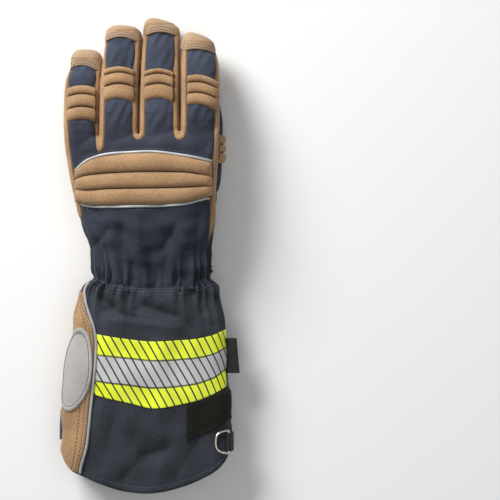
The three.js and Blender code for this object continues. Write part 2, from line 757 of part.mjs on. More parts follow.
const PIPING_SHIFT = PIPING_RADIUS + 3 * GAP;
addPiece('upper_piping', knucklePiping('upper', PIPING_SHIFT), COLOURS.silver);
addPiece('lower_piping', knucklePiping('lower', -PIPING_SHIFT), COLOURS.silver);

const bindingPoints = BINDING_PATH.map(([x, y]) => {
  return skinAt(hand, y, 360 - backAngle(hand, x, y), BINDING_RADIUS + LAID);
});
addPiece('thumb_binding', cord(bindingPoints, BINDING_RADIUS, WIRE_SIDES, 8), COLOURS.black);

// Cuff: an open tube cut along the wrist and the hem
const cuff = tube(CUFF_ROWS, CUFF_POWER, HAND_SIDES, {
  folds: CUFF_FOLDS, openStart: true, openEnd: true, innerSides: HAND_SIDES,
});
const cuffShell = loft(cuff, 0)
  .subtract(loft(hollowOf(cuff), -CUFF_WALL))
  .intersect(prism(lineBelow(WRIST_LINE, -SEAM)))
  .intersect(prism(lineAbove(HEM_LINE, 0)));
addPiece('cuff', geometryFrom(cuffShell), COLOURS.navy);

const cuffBase = loft(cuff, GAP);
const ON_SHIELD = LAID + SHIELD_THICKNESS + 2.5 * GAP;
const shieldBase = loft(cuff, ON_SHIELD);

// Height of the hem at a place across the cuff
function hemAt(x) {
  let i = 0;
  while (i < HEM_LINE.length - 2 && HEM_LINE[i + 1][0] < x) i += 1;
  const [x0, y0] = HEM_LINE[i];
  const [x1, y1] = HEM_LINE[i + 1];
  return THREE.MathUtils.lerp(y0, y1, THREE.MathUtils.clamp((x - x0) / (x1 - x0), 0, 1));
}

// Shield round the little-finger side
function shieldPlace(u, v) {
  const top = SHIELD_SEAM[0].y;
  let y = THREE.MathUtils.lerp(top, SHIELD_SEAM[SHIELD_SEAM.length - 1].y, v);
  let degrees = 0;
  for (let pass = 0; pass < 3; pass += 1) {
    const edge = backAngle(cuff, at(SHIELD_SEAM, 'y', y).x - SHIELD_PIPING_RADIUS - 5 * GAP, y);
    degrees = THREE.MathUtils.lerp(edge, SHIELD_UNDER_ANGLE, u);
    const low = hemAt(skinAt(cuff, y, degrees, 0).x) + SHIELD_OVERHANG;
    y = THREE.MathUtils.lerp(top, low, v);
  }
  return { y, degrees, thickness: SHIELD_THICKNESS };
}

addPiece('side_shield', seated(patch(cuff, 5, 10, LAID, shieldPlace), cuffBase), COLOURS.tan);

const shieldPipingStart = SHIELD_SEAM[0].y - 4.5;
const shieldPipingEnd = SHIELD_SEAM[SHIELD_SEAM.length - 1].y;
const shieldPipingPoints = Array.from({ length: SHIELD_PIPING_STEPS + 1 }, (_, i) => {
  const y = THREE.MathUtils.lerp(shieldPipingStart, shieldPipingEnd, i / SHIELD_PIPING_STEPS);
  return skinAt(cuff, y, backAngle(cuff, at(SHIELD_SEAM, 'y', y).x, y), SHIELD_PIPING_RADIUS + GAP);
});
const shieldPiping = cord(shieldPipingPoints, SHIELD_PIPING_RADIUS, WIRE_SIDES, SHIELD_PIPING_STEPS);
addPiece('shield_piping', seated(shieldPiping, cuffBase), COLOURS.pale);

// Oval badge on the shield
const badgePatch = patch(cuff, 4, BADGE.rows, ON_SHIELD, (u, v) => {
  const along = Math.sin((v - 0.5) * Math.PI * BADGE.ends);
  const spread = Math.sqrt(1 - along * along);
  return {
    y: BADGE.y - BADGE.half * along,
    degrees: BADGE.angle + BADGE.span * spread * (2 * u - 1),
    thickness: BADGE_THICKNESS,
  };
});
addPiece('badge', seated(badgePatch, shieldBase), COLOURS.grey);

// Reflective band in three strips
const tapeRight = TAPE_LINES[TAPE_LINES.length - 1].x;
Object.entries(TAPE_COLOURS).forEach(([name, colour], strip) => {
  const geometry = patch(cuff, 9, 2, LAID, (u, v) => {
    const place = { x: 0, y: TAPE_LINES[0][`edge${strip}`], degrees: 90 };
    for (let pass = 0; pass < 3; pass += 1) {
      const left = at(SHIELD_SEAM, 'y', place.y).x + SHIELD_PIPING_RADIUS + 2 * GAP;
      const from = backAngle(cuff, left, place.y);
      const to = backAngle(cuff, tapeRight, place.y);
      place.degrees = THREE.MathUtils.lerp(from, to, u);
      place.x = skinAt(cuff, place.y, place.degrees, 0).x;
      const line = at(TAPE_LINES, 'x', place.x);
      const first = line[`edge${strip}`] - (strip > 0 ? SEAM : 0);
      const last = line[`edge${strip + 1}`] + (strip < 2 ? SEAM : 0);
      place.y = THREE.MathUtils.lerp(first, last, v);
    }
    return { y: place.y, degrees: place.degrees, thickness: TAPE_THICKNESS };
  }, 0);
  addPiece(name, geometry, colour, { roughness: 0.5 });
});

// Loop patch
const [patchStart] = LOOP_PATCH_LINES;
const patchEnd = LOOP_PATCH_LINES[LOOP_PATCH_LINES.length - 1];
const loopPatch = patch(cuff, 7, 2, LAID, (u, v) => {
  const degrees = THREE.MathUtils.lerp(patchStart.degrees, patchEnd.degrees, u);
  const line = at(LOOP_PATCH_LINES, 'degrees', degrees);
  return { y: THREE.MathUtils.lerp(line.top, line.bottom, v), degrees, thickness: PATCH_THICKNESS };
}, 0);
addPiece('loop_patch', loopPatch, COLOURS.black);

// Woven tag in the thumb-side seam
const tagTop = skinAt(cuff, TAG.top, TAG.degrees, GAP);
const tagBottom = skinAt(cuff, TAG.bottom, TAG.degrees, GAP);
const tagOutline = [
  [tagTop.x, TAG.top], [TAG.topReach, TAG.top + 1], [TAG.bottomReach, TAG.bottom], [tagBottom.x, TAG.bottom],
];
addPiece('side_tag', geometryFrom(prism(tagOutline, tagTop.z, tagTop.z + TAG.thickness)), COLOURS.black);

// A loop of webbing round a bar, with a tail laid on the cuff from the bar's angle to another
function webbingLoop(center, barRadius, width, tail) {
  const inner = barRadius + WEBBING.clearance;
  const outer = inner + WEBBING.thickness;
  const strip = solidOf(patch(cuff, WEBBING.columns, 2, tail.lift, (u, v) => ({
    y: center.y + width * (0.5 - v),
    degrees: THREE.MathUtils.lerp(tail.from, tail.to, u),
    thickness: 2 * WEBBING.thickness,
  })));
  const base = loft(cuff, tail.lift);
  const around = barAlongY(center, outer, width, BAR_SIDES);
  const hole = barAlongY(center, inner, width + WEBBING.past, BAR_SIDES);
  return around.add(strip).subtract(base).subtract(hole);
}

// D-ring lying on the cuff, its straight bar in a webbing loop
const loopReach = D_RING.wire + WEBBING.clearance + WEBBING.thickness;
const barCenter = skinAt(cuff, D_RING.y, D_RING.degrees, 2 * GAP + loopReach);
const ringWebbing = webbingLoop(barCenter, D_RING.wire, D_RING.loopWidth, {
  from: D_RING.degrees + 2, to: D_RING.degrees - 34, lift: 2 * GAP,
});
addPiece('d_ring_loop', geometryFrom(ringWebbing), COLOURS.black);

// Where the ring's far side comes to lie on the cuff
function restingEnd(center, depth) {
  for (let degrees = D_RING.degrees; degrees < 90; degrees += 0.5) {
    const point = skinAt(cuff, center.y, degrees, D_RING.wire + 2 * GAP);
    if (point.distanceTo(center) >= depth) return point;
  }
  return center;
}

const ringDepth = D_RING.depth - 2 * D_RING.wire;
const ringWay = restingEnd(barCenter, ringDepth).sub(barCenter).setY(0).normalize();
const along = new THREE.Vector3(0, 1, 0);
const ringHalf = D_RING.bar / 2 - D_RING.wire;
const ringPoints = D_RING.barStations.map((t) => barCenter.clone().addScaledVector(along, t * ringHalf));
for (let i = 0; i <= D_RING.steps; i += 1) {
  const angle = (Math.PI * i) / D_RING.steps;
  const outward = ringDepth * Math.sin(angle) ** D_RING.bulge;
  const lengthwise = ringHalf * signedPower(Math.cos(angle), D_RING.flare);
  ringPoints.push(barCenter.clone().addScaledVector(ringWay, outward).addScaledVector(along, lengthwise));
}
const ringNormal = new THREE.Vector3().crossVectors(ringWay, along).normalize();
addPiece('d_ring', closedWire(ringPoints, D_RING.wire, WIRE_SIDES, ringNormal), COLOURS.nickel, METAL);

// Metal loop of the strap, between the strap and the webbing that holds it
const ringReach = STRAP_RING.wire + WEBBING.clearance + WEBBING.thickness;
const strapBar = new THREE.Vector3(STRAP_RING.x, STRAP.y, STRAP_RING.z);
const edgeBar = skinAt(cuff, STRAP.y, STRAP_RING.edgeDegrees, ON_SHIELD + ringReach);
const acrossRing = edgeBar.clone().sub(strapBar);
const halfHeight = STRAP_RING.height / 2 - STRAP_RING.wire;
const loopCorners = [[0, -1], [1, -1], [1, 1], [0, 1]];
const strapRingPoints = loopCorners.flatMap(([u, v], i) => {
  const [pu, pv] = loopCorners[(i + 3) % 4];
  const [nu, nv] = loopCorners[(i + 1) % 4];
  const place = (a, b) => {
    return strapBar.clone().addScaledVector(acrossRing, a).addScaledVector(along, b * halfHeight);
  };
  const { corner, cut } = STRAP_RING;
  return [
    place(u + (pu - u) * corner, v + ((pv - v) * corner) / 2),
    place(u + (pu + nu - 2 * u) * cut, v + ((pv + nv - 2 * v) * cut) / 2),
    place(u + (nu - u) * corner, v + ((nv - v) * corner) / 2),
  ];
});
const strapRingNormal = new THREE.Vector3().crossVectors(acrossRing, along).normalize();
const strapRing = closedWire(strapRingPoints, STRAP_RING.wire, WIRE_SIDES, strapRingNormal);
addPiece('strap_ring', strapRing, COLOURS.nickel, METAL);
const ringHolder = webbingLoop(edgeBar, STRAP_RING.wire, STRAP.width - 2, {
  from: STRAP_RING.edgeDegrees + 2, to: STRAP_RING.edgeDegrees - 26, lift: ON_SHIELD,
});
addPiece('ring_holder', geometryFrom(ringHolder), COLOURS.navy);

// Strap from the metal loop to the pull tab
const strapBand = new THREE.BoxGeometry(STRAP.right - STRAP_RING.x, STRAP.width, STRAP.high - STRAP.low);
strapBand.translate((STRAP.right + STRAP_RING.x) / 2, STRAP.y, (STRAP.high + STRAP.low) / 2);
const strapSolid = solidOf(strapBand)
  .add(barAlongY(strapBar, ringReach, STRAP.width, BAR_SIDES))
  .subtract(barAlongY(strapBar, STRAP_RING.wire + WEBBING.clearance, STRAP.width + WEBBING.past, BAR_SIDES));
addPiece('strap', geometryFrom(strapSolid), COLOURS.navy);

// Rubber pull tab: a plate with a bare raised panel and ribs on its outer face
function block(x, y, z) {
  const geometry = new THREE.BoxGeometry(x[1] - x[0], y[1] - y[0], z[1] - z[0]);
  geometry.translate((x[0] + x[1]) / 2, (y[0] + y[1]) / 2, (z[0] + z[1]) / 2);
  return solidOf(geometry);
}

const tabFace = [0, TAB.base + TAB.root];
let pullTab = prism(TAB_OUTLINE, TAB.base, TAB.top).add(block(TAB.panelX, TAB.ribY, tabFace));
const ribPitch = (TAB.ribY[1] - TAB.ribY[0]) / (TAB.ribCount - 0.5);
for (let i = 0; i < TAB.ribCount; i += 1) {
  const start = TAB.ribY[0] + i * ribPitch;
  pullTab = pullTab.add(block(TAB.ribX, [start, start + ribPitch / 2], tabFace));
}
addPiece('pull_tab', geometryFrom(pullTab), COLOURS.rubber);

export default glove;
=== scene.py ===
"""A left-hand firefighter glove lying palm down on a pale floor.

The script builds the glove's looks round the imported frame: a leather hand with padded knuckles,
a woven back, a long gathered cuff with a reflective band, and the small metal and rubber pieces.
All tables are in millimetres in the frame's own axes: fingertips towards +Y, thumb towards +X.
"""

import logging
import math
from collections.abc import Callable, Sequence
from dataclasses import dataclass, field
from enum import Enum

import bpy
import numpy as np
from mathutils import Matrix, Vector
from mathutils.bvhtree import BVHTree


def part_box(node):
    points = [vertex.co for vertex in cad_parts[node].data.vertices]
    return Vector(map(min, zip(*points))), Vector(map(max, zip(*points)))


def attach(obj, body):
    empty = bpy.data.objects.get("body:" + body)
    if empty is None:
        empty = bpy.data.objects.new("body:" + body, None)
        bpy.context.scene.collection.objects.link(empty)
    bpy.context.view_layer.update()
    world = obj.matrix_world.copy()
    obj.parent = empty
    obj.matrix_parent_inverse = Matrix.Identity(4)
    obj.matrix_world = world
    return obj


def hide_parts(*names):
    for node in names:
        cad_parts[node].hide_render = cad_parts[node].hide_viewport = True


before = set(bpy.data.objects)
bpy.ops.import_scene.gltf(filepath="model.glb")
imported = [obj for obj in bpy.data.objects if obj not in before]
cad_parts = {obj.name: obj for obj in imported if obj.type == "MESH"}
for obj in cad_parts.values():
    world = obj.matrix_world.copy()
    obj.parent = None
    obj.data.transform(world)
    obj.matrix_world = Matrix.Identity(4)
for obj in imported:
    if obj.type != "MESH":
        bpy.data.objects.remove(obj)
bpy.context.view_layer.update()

log = logging.getLogger("glove")
logging.basicConfig(level=logging.INFO, format="%(name)s: %(message)s")

Array = np.ndarray
Object = bpy.types.Object
Material = bpy.types.Material
MM = 0.001
FLOOR = 0.03
SEED = 7


class Side(Enum):
    """The two faces of the glove as it lies."""

    BACK = 1
    PALM = -1


class Region(Enum):
    """The pieces that are cut from the hand's skin."""

    BACK = "hand_back_panel"
    THUMB_BACK = "thumb_back_panel"
    THUMB_BASE = "thumb_base_panel"


# Forms: smooth curves through short tables


class Table:
    """Named columns over a rising first column, read along smooth curves that don't overshoot."""

    def __init__(self, names: str, rows: Sequence[Sequence[float]]) -> None:
        """Keeps the rows in rising order.

        Args:
            names: column names, the first being the one that is read from.
            rows: one list of numbers for each row.
        """
        self.names = names.split()
        data = np.array(rows, float)
        self.data = data[np.argsort(data[:, 0])]
        self.x = self.data[:, 0]
        # Slopes: weighted harmonic means of the rises on both sides, and none where these turn over
        step = np.diff(self.x)[:, None]
        rise = np.diff(self.data, axis=0) / step
        before, after = rise[:-1], rise[1:]
        same = before * after > 0
        w1, w2 = 2 * step[1:] + step[:-1], step[1:] + 2 * step[:-1]
        mean = (w1 + w2) / (w1 / np.where(same, before, 1) + w2 / np.where(same, after, 1))
        self.slopes = np.vstack([rise[:1], np.where(same, mean, 0), rise[-1:]])

    def at(self, value: Array | float) -> dict[str, Array]:
        """Reads all columns.

        Args:
            value: places in the first column; those beyond the ends take the end rows.

        Returns:
            One array for each column name.
        """
        value = np.clip(np.asarray(value, float), self.x[0], self.x[-1])
        i = np.clip(np.searchsorted(self.x, value) - 1, 0, len(self.x) - 2)
        step = self.x[i + 1] - self.x[i]
        t = ((value - self.x[i]) / step)[..., None]
        step = step[..., None]
        low, high = self.data[i], self.data[i + 1]
        a, b = self.slopes[i] * step, self.slopes[i + 1] * step
        out = (
            (2 * t**3 - 3 * t**2 + 1) * low
            + (t**3 - 2 * t**2 + t) * a
            + (3 * t**2 - 2 * t**3) * high
            + (t**3 - t**2) * b
        )
        return {name: out[..., k] for k, name in enumerate(self.names)}


def signed_power(value: Array, power: float) -> Array:
    """Raises the size of a value to a power and keeps its sign."""
    return np.sign(value) * np.abs(value) ** power


def unit(vectors: Array) -> Array:
    """Scales vectors to length 1 along the last axis."""
    return vectors / (np.linalg.norm(vectors, axis=-1, keepdims=True) + 1e-12)


def bell(value: Array, middle: float, width: float) -> Array:
    """A soft ridge of height 1 at a middle value."""
    return np.exp(-(((value - middle) / width) ** 2))


def smoothstep(value: Array) -> Array:
    """A soft step from 0 at 0 to 1 at 1."""
    t = np.clip(value, 0, 1)
    return t * t * (3 - 2 * t)


def shoulder(depth: Array, reach: float) -> Array:
    """A round shoulder from 0 at a border to 1 at a distance inside it."""
    return np.sqrt(np.clip(1 - (1 - np.clip(depth / reach, 0, 1)) ** 2, 0, 1))


def segment_distance(points: Array, a: Array, b: Array) -> Array:
    """Distance in plan from points to one segment.

    Args:
        points: places, one to a row.
        a: the segment's start.
        b: the segment's end.

    Returns:
        One distance for each point.
    """
    way = b - a
    t = np.clip(((points - a) @ way) / max(way @ way, 1e-9), 0, 1)
    return np.linalg.norm(points - a - t[:, None] * way, axis=1)


def signed_distance(points: Array, outline: Array) -> Array:
    """Distance in plan to a closed outline, above zero inside it.

    Args:
        points: places, one to a row.
        outline: the outline's corners.

    Returns:
        One signed distance for each point.
    """
    nearest = np.full(len(points), 1e9)
    inside = np.zeros(len(points), bool)
    for a, b in zip(outline, np.roll(outline, -1, axis=0)):
        nearest = np.minimum(nearest, segment_distance(points, a, b))
        crosses = (a[1] > points[:, 1]) != (b[1] > points[:, 1])
        if a[1] != b[1]:
            reach = (b[0] - a[0]) * (points[:, 1] - a[1]) / (b[1] - a[1]) + a[0]
            inside ^= crosses & (points[:, 0] < reach)
    return np.where(inside, nearest, -nearest)


def rounded(outline: Sequence[Sequence[float]], passes: int = 2, closed: bool = True) -> Array:
    """Cuts the corners off an outline.

    Args:
        outline: the corners.
        passes: how many times the corners are cut.
        closed: whether the last corner joins the first.

    Returns:
        The rounder outline.
    """
    points = np.array(outline, float)
    for _ in range(passes):
        ahead = np.roll(points, -1, axis=0)
        pair = np.stack([0.75 * points + 0.25 * ahead, 0.25 * points + 0.75 * ahead], 1)
        fresh = pair.reshape(-1, points.shape[1])
        points = fresh if closed else np.vstack([points[:1], fresh[:-2], points[-1:]])
    return points


def measured(points: Array, axis: int = 0) -> Array:
    """Distances along rows of points, from the first point of each."""
    steps = np.linalg.norm(np.diff(points, axis=axis), axis=-1)
    return np.insert(np.cumsum(steps, axis=axis), 0, 0, axis=axis)


def read_path(marks: Array, along: Array, path: Array) -> Array:
    """Reads every column of a path at marks along it."""
    return np.stack([np.interp(marks, along, column) for column in path.T], 1)


def spaced(path: Array, pitch: float, closed: bool = False) -> Array:
    """Places points along a path at an even pitch.

    Args:
        path: the path's corners.
        pitch: wanted distance between points.
        closed: whether the path returns to its start.

    Returns:
        The points, evenly spaced.
    """
    path = np.asarray(path, float)
    if closed:
        path = np.vstack([path, path[:1]])
    along = measured(path)
    count = max(int(round(along[-1] / pitch)), 2)
    marks = np.linspace(0, along[-1], count + 1)
    return read_path(marks[:-1] if closed else marks, along, path)


@dataclass
class Tube:
    """A soft tube with flattened round sections; turn 0 is its thumb side and 90 degrees its back."""

    table: Table
    power: float
    tip: float | None = None
    slant: float = 0.0
    slim: float = 0.0
    roundness: float = 2.4

    def sections(self, y: Array) -> dict[str, Array]:
        """Reads the sections, with the tip's rounding.

        Args:
            y: places along the tube.

        Returns:
            The table's columns, with scale and reach added.
        """
        row = self.table.at(y)
        base = self.table.x[-1]
        length = (self.tip - base) if self.tip is not None else 1e9
        reach = np.clip((y - base) / length, 0, 0.9995)
        row["reach"] = reach
        row["scale"] = (1 - reach**self.roundness) ** (1 / self.roundness)
        row["y"] = np.asarray(y, float)
        row["width"] = row["width"] - self.slim
        return row

    def corner(self, turn: Array) -> tuple[Array, Array]:
        """Cosine and sine of angles in degrees, squared off by the section's power."""
        angle = np.radians(turn)
        return signed_power(np.cos(angle), 2 / self.power), signed_power(np.sin(angle), 2 / self.power)

    def points(self, y: Array, turn: Array, grow: float | Array = 0.0) -> Array:
        """Places on the tube's skin.

        Args:
            y: places along the tube.
            turn: angles round it, in degrees.
            grow: how far the skin is moved out.

        Returns:
            Points, in the shape of y and turn together with three columns.
        """
        y, turn = np.broadcast_arrays(np.asarray(y, float), np.asarray(turn, float))
        row = self.sections(y)
        c, n = self.corner(turn)
        half = (row["width"] / 2 + grow) * row["scale"]
        tall = ((row["top"] - row["bottom"]) / 2 + grow) * row["scale"]
        x = row["x"] + half * c
        along = y + grow * row["reach"] + self.slant * half * c * row["reach"]
        along = along + row.get("skew", 0.0) * c
        middle = (row["top"] + row["bottom"]) / 2 + row.get("lean", 0.0) * c
        return np.stack([x, along, middle + tall * n], -1)

    def back_turn(self, x: Array, y: Array) -> Array:
        """The angle at which the upper skin passes over a place in plan.

        Args:
            x: places across.
            y: places along.

        Returns:
            Angles in degrees.
        """
        row = self.sections(np.asarray(y, float))
        c = np.clip((x - row["x"]) / (row["width"] / 2), -1, 1)
        return np.degrees(np.arccos(np.clip(signed_power(c, self.power / 2), -1, 1)))

    def turn_of(self, points: Array) -> Array:
        """The angle round the tube at which points lie.

        Args:
            points: places near the skin.

        Returns:
            Angles in degrees.
        """
        row = self.sections(points[:, 1])
        c = (points[:, 0] - row["x"]) / (row["width"] / 2)
        middle = (row["top"] + row["bottom"]) / 2 + row.get("lean", 0.0) * np.clip(c, -1, 1)
        n = (points[:, 2] - middle) / ((row["top"] - row["bottom"]) / 2)
        power = self.power / 2
        return np.degrees(np.arctan2(signed_power(n, power), signed_power(c, power)))


HAND_TABLE = Table("y x width bottom top lean skew", [
    [-36, 2.1, 96, 9.5, 38.5, 0, 0], [-18, 2.1, 97, 9.5, 40, 1, 0], [-2, 1.7, 99.5, 9, 43, 3, 0],
    [18, 0, 108, 8.5, 47, 5.5, 0], [39, -2.6, 116.5, 9, 49.5, 8, 0], [59, -4.9, 122, 11.5, 51, 9.5, 0],
    [79.5, -5.8, 127, 15.5, 50.5, 10.5, 1], [91, -6.6, 129.5, 18, 49.5, 11.5, 3],
    [98, -6.8, 130, 21.5, 47, 11.5, 4], [102.5, -6.8, 130, 27, 42, 11.5, 4],
])
FINGER_COLUMNS = "y x width bottom top"


@dataclass(frozen=True)
class Finger:
    """One finger: its tube and where its cap and knuckle pad lie."""

    name: str
    sides: tuple[float, float]
    tube: Tube
    cap_edge: float
    cap_sides: tuple[float, float]
    cap_arch: float
    cap_tilt: float
    pad_sides: tuple[float, float]
    pad_lines: tuple[float, float, float, float]
    pad_arch: float
    pad_tilt: float = 0.0

    def pad_shift(self, x: Array) -> Array:
        """How far the pad's lines lie along the finger at places across it, from their set height."""
        low, high = self.pad_sides
        u = (x - low) / (high - low)
        return self.pad_arch * (1 - (2 * u - 1) ** 2) + self.pad_tilt * (u - 0.5) * (high - low)


FINGER_POWER = 2.5
FINGERS = (
    Finger("little", (-90, -40), Tube(Table(FINGER_COLUMNS, [
        [82, -56, 24, 14, 36], [98, -58, 29, 8.5, 35], [115, -57.8, 29.2, 5.5, 32],
        [132, -57.6, 29.2, 3, 28.5], [149, -56.5, 28.8, 1, 25.5], [161, -54, 26.4, 0, 22.5],
    ]), FINGER_POWER, 175.2, -0.05, 0.2, 3.2), 157.0, (-80, -40.5), 4.4, 0.0,
        (-69.3, -46.4), (113, 124, 135, 142.5), 2.4, 0.02),
    Finger("ring", (-40, -6), Tube(Table(FINGER_COLUMNS, [
        [84, -25.9, 28, 16, 44], [104, -25.9, 32.4, 13, 42], [132, -25.9, 32.4, 9, 36.5],
        [149, -25.5, 32, 5.5, 32], [166, -23.6, 31, 2.5, 28], [180, -22.3, 30.8, 0, 24],
    ]), FINGER_POWER, 195.6, -0.07, 0.1, 3.4), 181.2, (-50, -6.6), 4.2, 0.05,
        (-38.3, -13.4), (129.8, 142.4, 152.2, 157.5), 3.2, 0.0),
    Finger("middle", (-6, 26.1), Tube(Table(FINGER_COLUMNS, [
        [84, 8.9, 29, 20, 49], [104, 8.9, 33.8, 18, 47.5], [132, 8.9, 33.6, 13, 41.5],
        [157, 9.8, 32.8, 7, 34], [178, 9.8, 31, 1.8, 27], [187, 10, 30.2, 0, 24],
    ]), FINGER_POWER, 200.6, -0.27, 0.1, 3.2), 186.2, (-7, 40), 3.4, 0.04,
        (-3.6, 20.2), (129.8, 142.4, 151, 155.6), 3.0, -0.03),
    Finger("index", (26.1, 90), Tube(Table(FINGER_COLUMNS, [
        [84, 41, 26, 28, 50], [104, 42.9, 32, 27, 53], [132, 42.9, 32, 25.5, 51],
        [149, 42.9, 32, 23.5, 48], [163, 42.3, 31.4, 18.5, 42.5], [173, 41.2, 28.4, 14, 37],
    ]), FINGER_POWER, 187.4, -0.3, 0.4, 3.0), 171.2, (26, 80), 2.6, -0.16,
        (32.6, 57.8), (123.4, 133.5, 142.5, 149), 3.2, -0.2),
)
THUMB = Tube(Table(FINGER_COLUMNS, [
    [8, 36, 24, 14, 30], [30, 38.5, 29, 7, 31], [50, 42, 30, 2.5, 29], [72, 46.2, 30.4, 0, 25.4],
    [92, 47.6, 29.4, 0, 24], [112, 47.4, 29, 0, 23.4], [130, 46, 27, 0, 21.6],
]), FINGER_POWER, 144, -0.12, 0.6)
HAND = Tube(HAND_TABLE, 2.7)

WRIST_LINE = Table("x y", [
    [-90, -18], [-46, -18.3], [-33.5, -24.2], [0.5, -27.6], [34.5, -25.1], [50.6, -18.3], [90, -18],
])
HEM_LINE = Table("x y", [
    [-90, -158], [-74, -165], [-70, -175.5], [-66, -181.5], [-58, -185.5], [-41, -192.5],
    [-22.5, -198.3], [-4, -200.4], [12, -199], [30, -194.2], [43, -189], [56, -182], [64.5, -174],
    [69.5, -165], [90, -158],
])
BACK_OUTLINE = [
    [-80, -40], [80, -40], [80, 44], [57.5, 38], [50.6, 11], [53.1, 55.7], [54.6, 77], [56.4, 115],
    [57.4, 150], [55.6, 178], [31.8, 180], [31.8, 150], [31.6, 110], [31.3, 103], [30.8, 99.6],
    [28.9, 97.6], [26.5, 97], [24.1, 97.6], [22.2, 99.6], [21.6, 103], [21.2, 110], [21.4, 160],
    [21.6, 195], [-2, 195], [-3.8, 160], [-3.9, 110], [-4.1, 103], [-4.6, 100], [-6.2, 98],
    [-8.5, 97.4], [-10.9, 98], [-12.6, 100], [-13.2, 103], [-13.6, 110], [-13, 160], [-11.4, 190],
    [-36.2, 190], [-37.6, 166], [-38.3, 104], [-38.2, 94], [-38.6, 90], [-39.6, 88], [-41.2, 87.2],
    [-42.9, 88], [-44.1, 90.4], [-44.7, 95], [-45.1, 101], [-45.8, 149],
    [-44.6, 166], [-67.4, 166], [-69.5, 146], [-70.2, 115], [-65, 71], [-58.4, 41.2], [-57.4, 31], [-80, 29],
]
THUMB_OUTLINE = [
    [21.7, 25], [19.1, 38.7], [20, 49.7], [24.2, 62], [29.6, 76], [29.6, 150], [80, 150], [80, 50],
    [60, 54], [44.6, 50],
]
THUMB_BASE_OUTLINE = [[15.7, -40], [19.1, 20], [21.7, 25], [44.6, 50], [60, 54], [90, 50], [90, -40]]
THUMB_CEILING = Table("y inner outer", [
    [-45, 24, 24.5], [18, 27, 33], [42, 22, 36], [60, 18, 37], [72, 14.6, 37.8], [80, 14.7, 37.8],
    [100, 17.3, 33.7], [125, 18.5, 30.6], [146, 15.3, 29.3],
])
THUMB_SEAM = Table("y x", [[40, 46.5], [52, 46.5], [76, 48.5], [100, 49.5], [128, 48.5], [152, 47.5]])

KNUCKLE_LINES = Table("x lower groove_b groove_a upper", [
    [-63.5, 47, 56.3, 64.5, 70.5], [-51, 42.9, 55.3, 68, 80.3], [-33.6, 42.1, 56.5, 69.5, 84.8],
    [0, 42.5, 56.9, 70.6, 86.6], [27, 43.8, 57.5, 70.3, 83.9], [53, 50.4, 59.1, 66.9, 78.6],
])
THUMB_PAD = (78.6, 87.9, 94.8, 103.3)
PAD_FOOT, KNUCKLE_CREST, FINGER_CREST, THUMB_CREST = -1.3, 4.4, 3.1, 3.0
TAPE_LINES = Table("x edge0 edge1 edge2 edge3", [
    [-48, -66.2, -83.6, -105, -116.8], [-44.3, -66.7, -84, -106, -118],
    [-16.5, -71, -86.8, -109.5, -124.5], [4, -72.7, -88.8, -111.8, -128.8],
    [35.3, -71, -87.1, -109.2, -123.7], [52, -68, -84, -104.5, -118], [65.8, -62.4, -77.4, -96, -110],
])
SHIELD_SEAM = Table("y x", [
    [-18.5, -47.6], [-30, -54.4], [-43, -52.3], [-61.6, -46], [-76, -44.6], [-97.3, -45.5],
    [-117, -48], [-149, -51], [-160, -52.3], [-182, -58.5],
])
SHIELD_UNDER = 212
CUFF_MIDDLE = 22.0
LOOP_PATCH_LINES = Table("turn top bottom", [
    [-30, -117, -146], [0, -114, -138], [18, -113.5, -140], [40, -117.2, -146.5],
    [54, -121.2, -150.5], [68, -125.5, -157],
])
BINDING_PATH = [[20.4, 24], [19.1, 38.7], [20, 49.7], [24.2, 62], [31, 73]]
BADGE_MIDDLE, BADGE_REACH = (-96.5, 153), (35.5, 27)
RING_BAR = np.array([67.3334, -157.8, 34.0517])
RING_LENGTH, RING_DEPTH, RING_WIRE = 21.0, 13.7, 1.1
RING_BAND = 15.5
STRAP_WIRE, STRAP_MIDDLE = 1.2, -144.0

# Folds in the cloth: a segment in plan, its depth (below zero for a bulge) and its half width
BACK_DENTS = (
    (-24, 22, -20, -16, 3.4, 5), (-9, 34, -8, 6, -1.8, 7), (0, 2, 2, -18, 2.6, 4.5),
    (22, 24, 12, 6, 3.0, 5), (34, 22, 26, -14, -1.4, 6), (42, 30, 38, 0, 2.6, 5),
    (-47, 8, -36, 20, 2.8, 4.5), (-40, 2, -34, -16, 2.2, 4), (-33, 18, -31, -10, -1.2, 5),
    (-14, -8, -13, -20, 1.8, 3), (14, -4, 12, -20, 2.0, 3.5), (30, 4, 27, -18, 2.2, 4),
    (-60, 102, -52, 93, 1.2, 4), (-60, 82, -50, 88, 1.2, 4), (34, 104, 48, 92, 1.2, 5),
    (-20, 112, -30, 96, 1.3, 6), (-52, 40, -40, 34, 1.6, 4), (6, 100, 16, 112, 1.2, 5),
)
CUFF_DENTS = {
    Side.BACK: (
        (-22, -189, -2, -169, 3.2, 6), (-2, -169, 15, -164, 2.8, 6), (-12, -182, 12, -152, -1.4, 7),
        (-41, -37, -31, -44, 4.2, 4.5), (-36, -46, -12, -53, 4.2, 4.2), (-32, -54, 24, -61, -2.0, 4),
        (-12, -35, -10, -45, 3.8, 3.8), (-4, -42, 22, -52, 4.2, 4.4), (3, -34, 8, -41, -2.4, 5),
        (37, -32, 46, -47, 4.2, 4.5), (24, -36, 30, -52, -2.0, 5), (52, -36, 57, -58, 2.6, 4.5),
        (24, -186, 44, -150, 2.0, 8), (-40, -178, -30, -140, 2.0, 8), (-8, -138, -14, -162, 1.6, 7),
        (28, -150, 12, -176, -1.2, 8),
    ),
    Side.PALM: (
        (2, -72, 2, -225, 4.5, 9), (-30, -40, -20, -76, 2.6, 5), (-8, -36, -14, -92, 2.4, 6),
        (20, -36, 12, -84, 2.4, 5), (36, -40, 30, -120, 2.2, 8), (-46, -60, -40, -100, 1.6, 7),
    ),
}


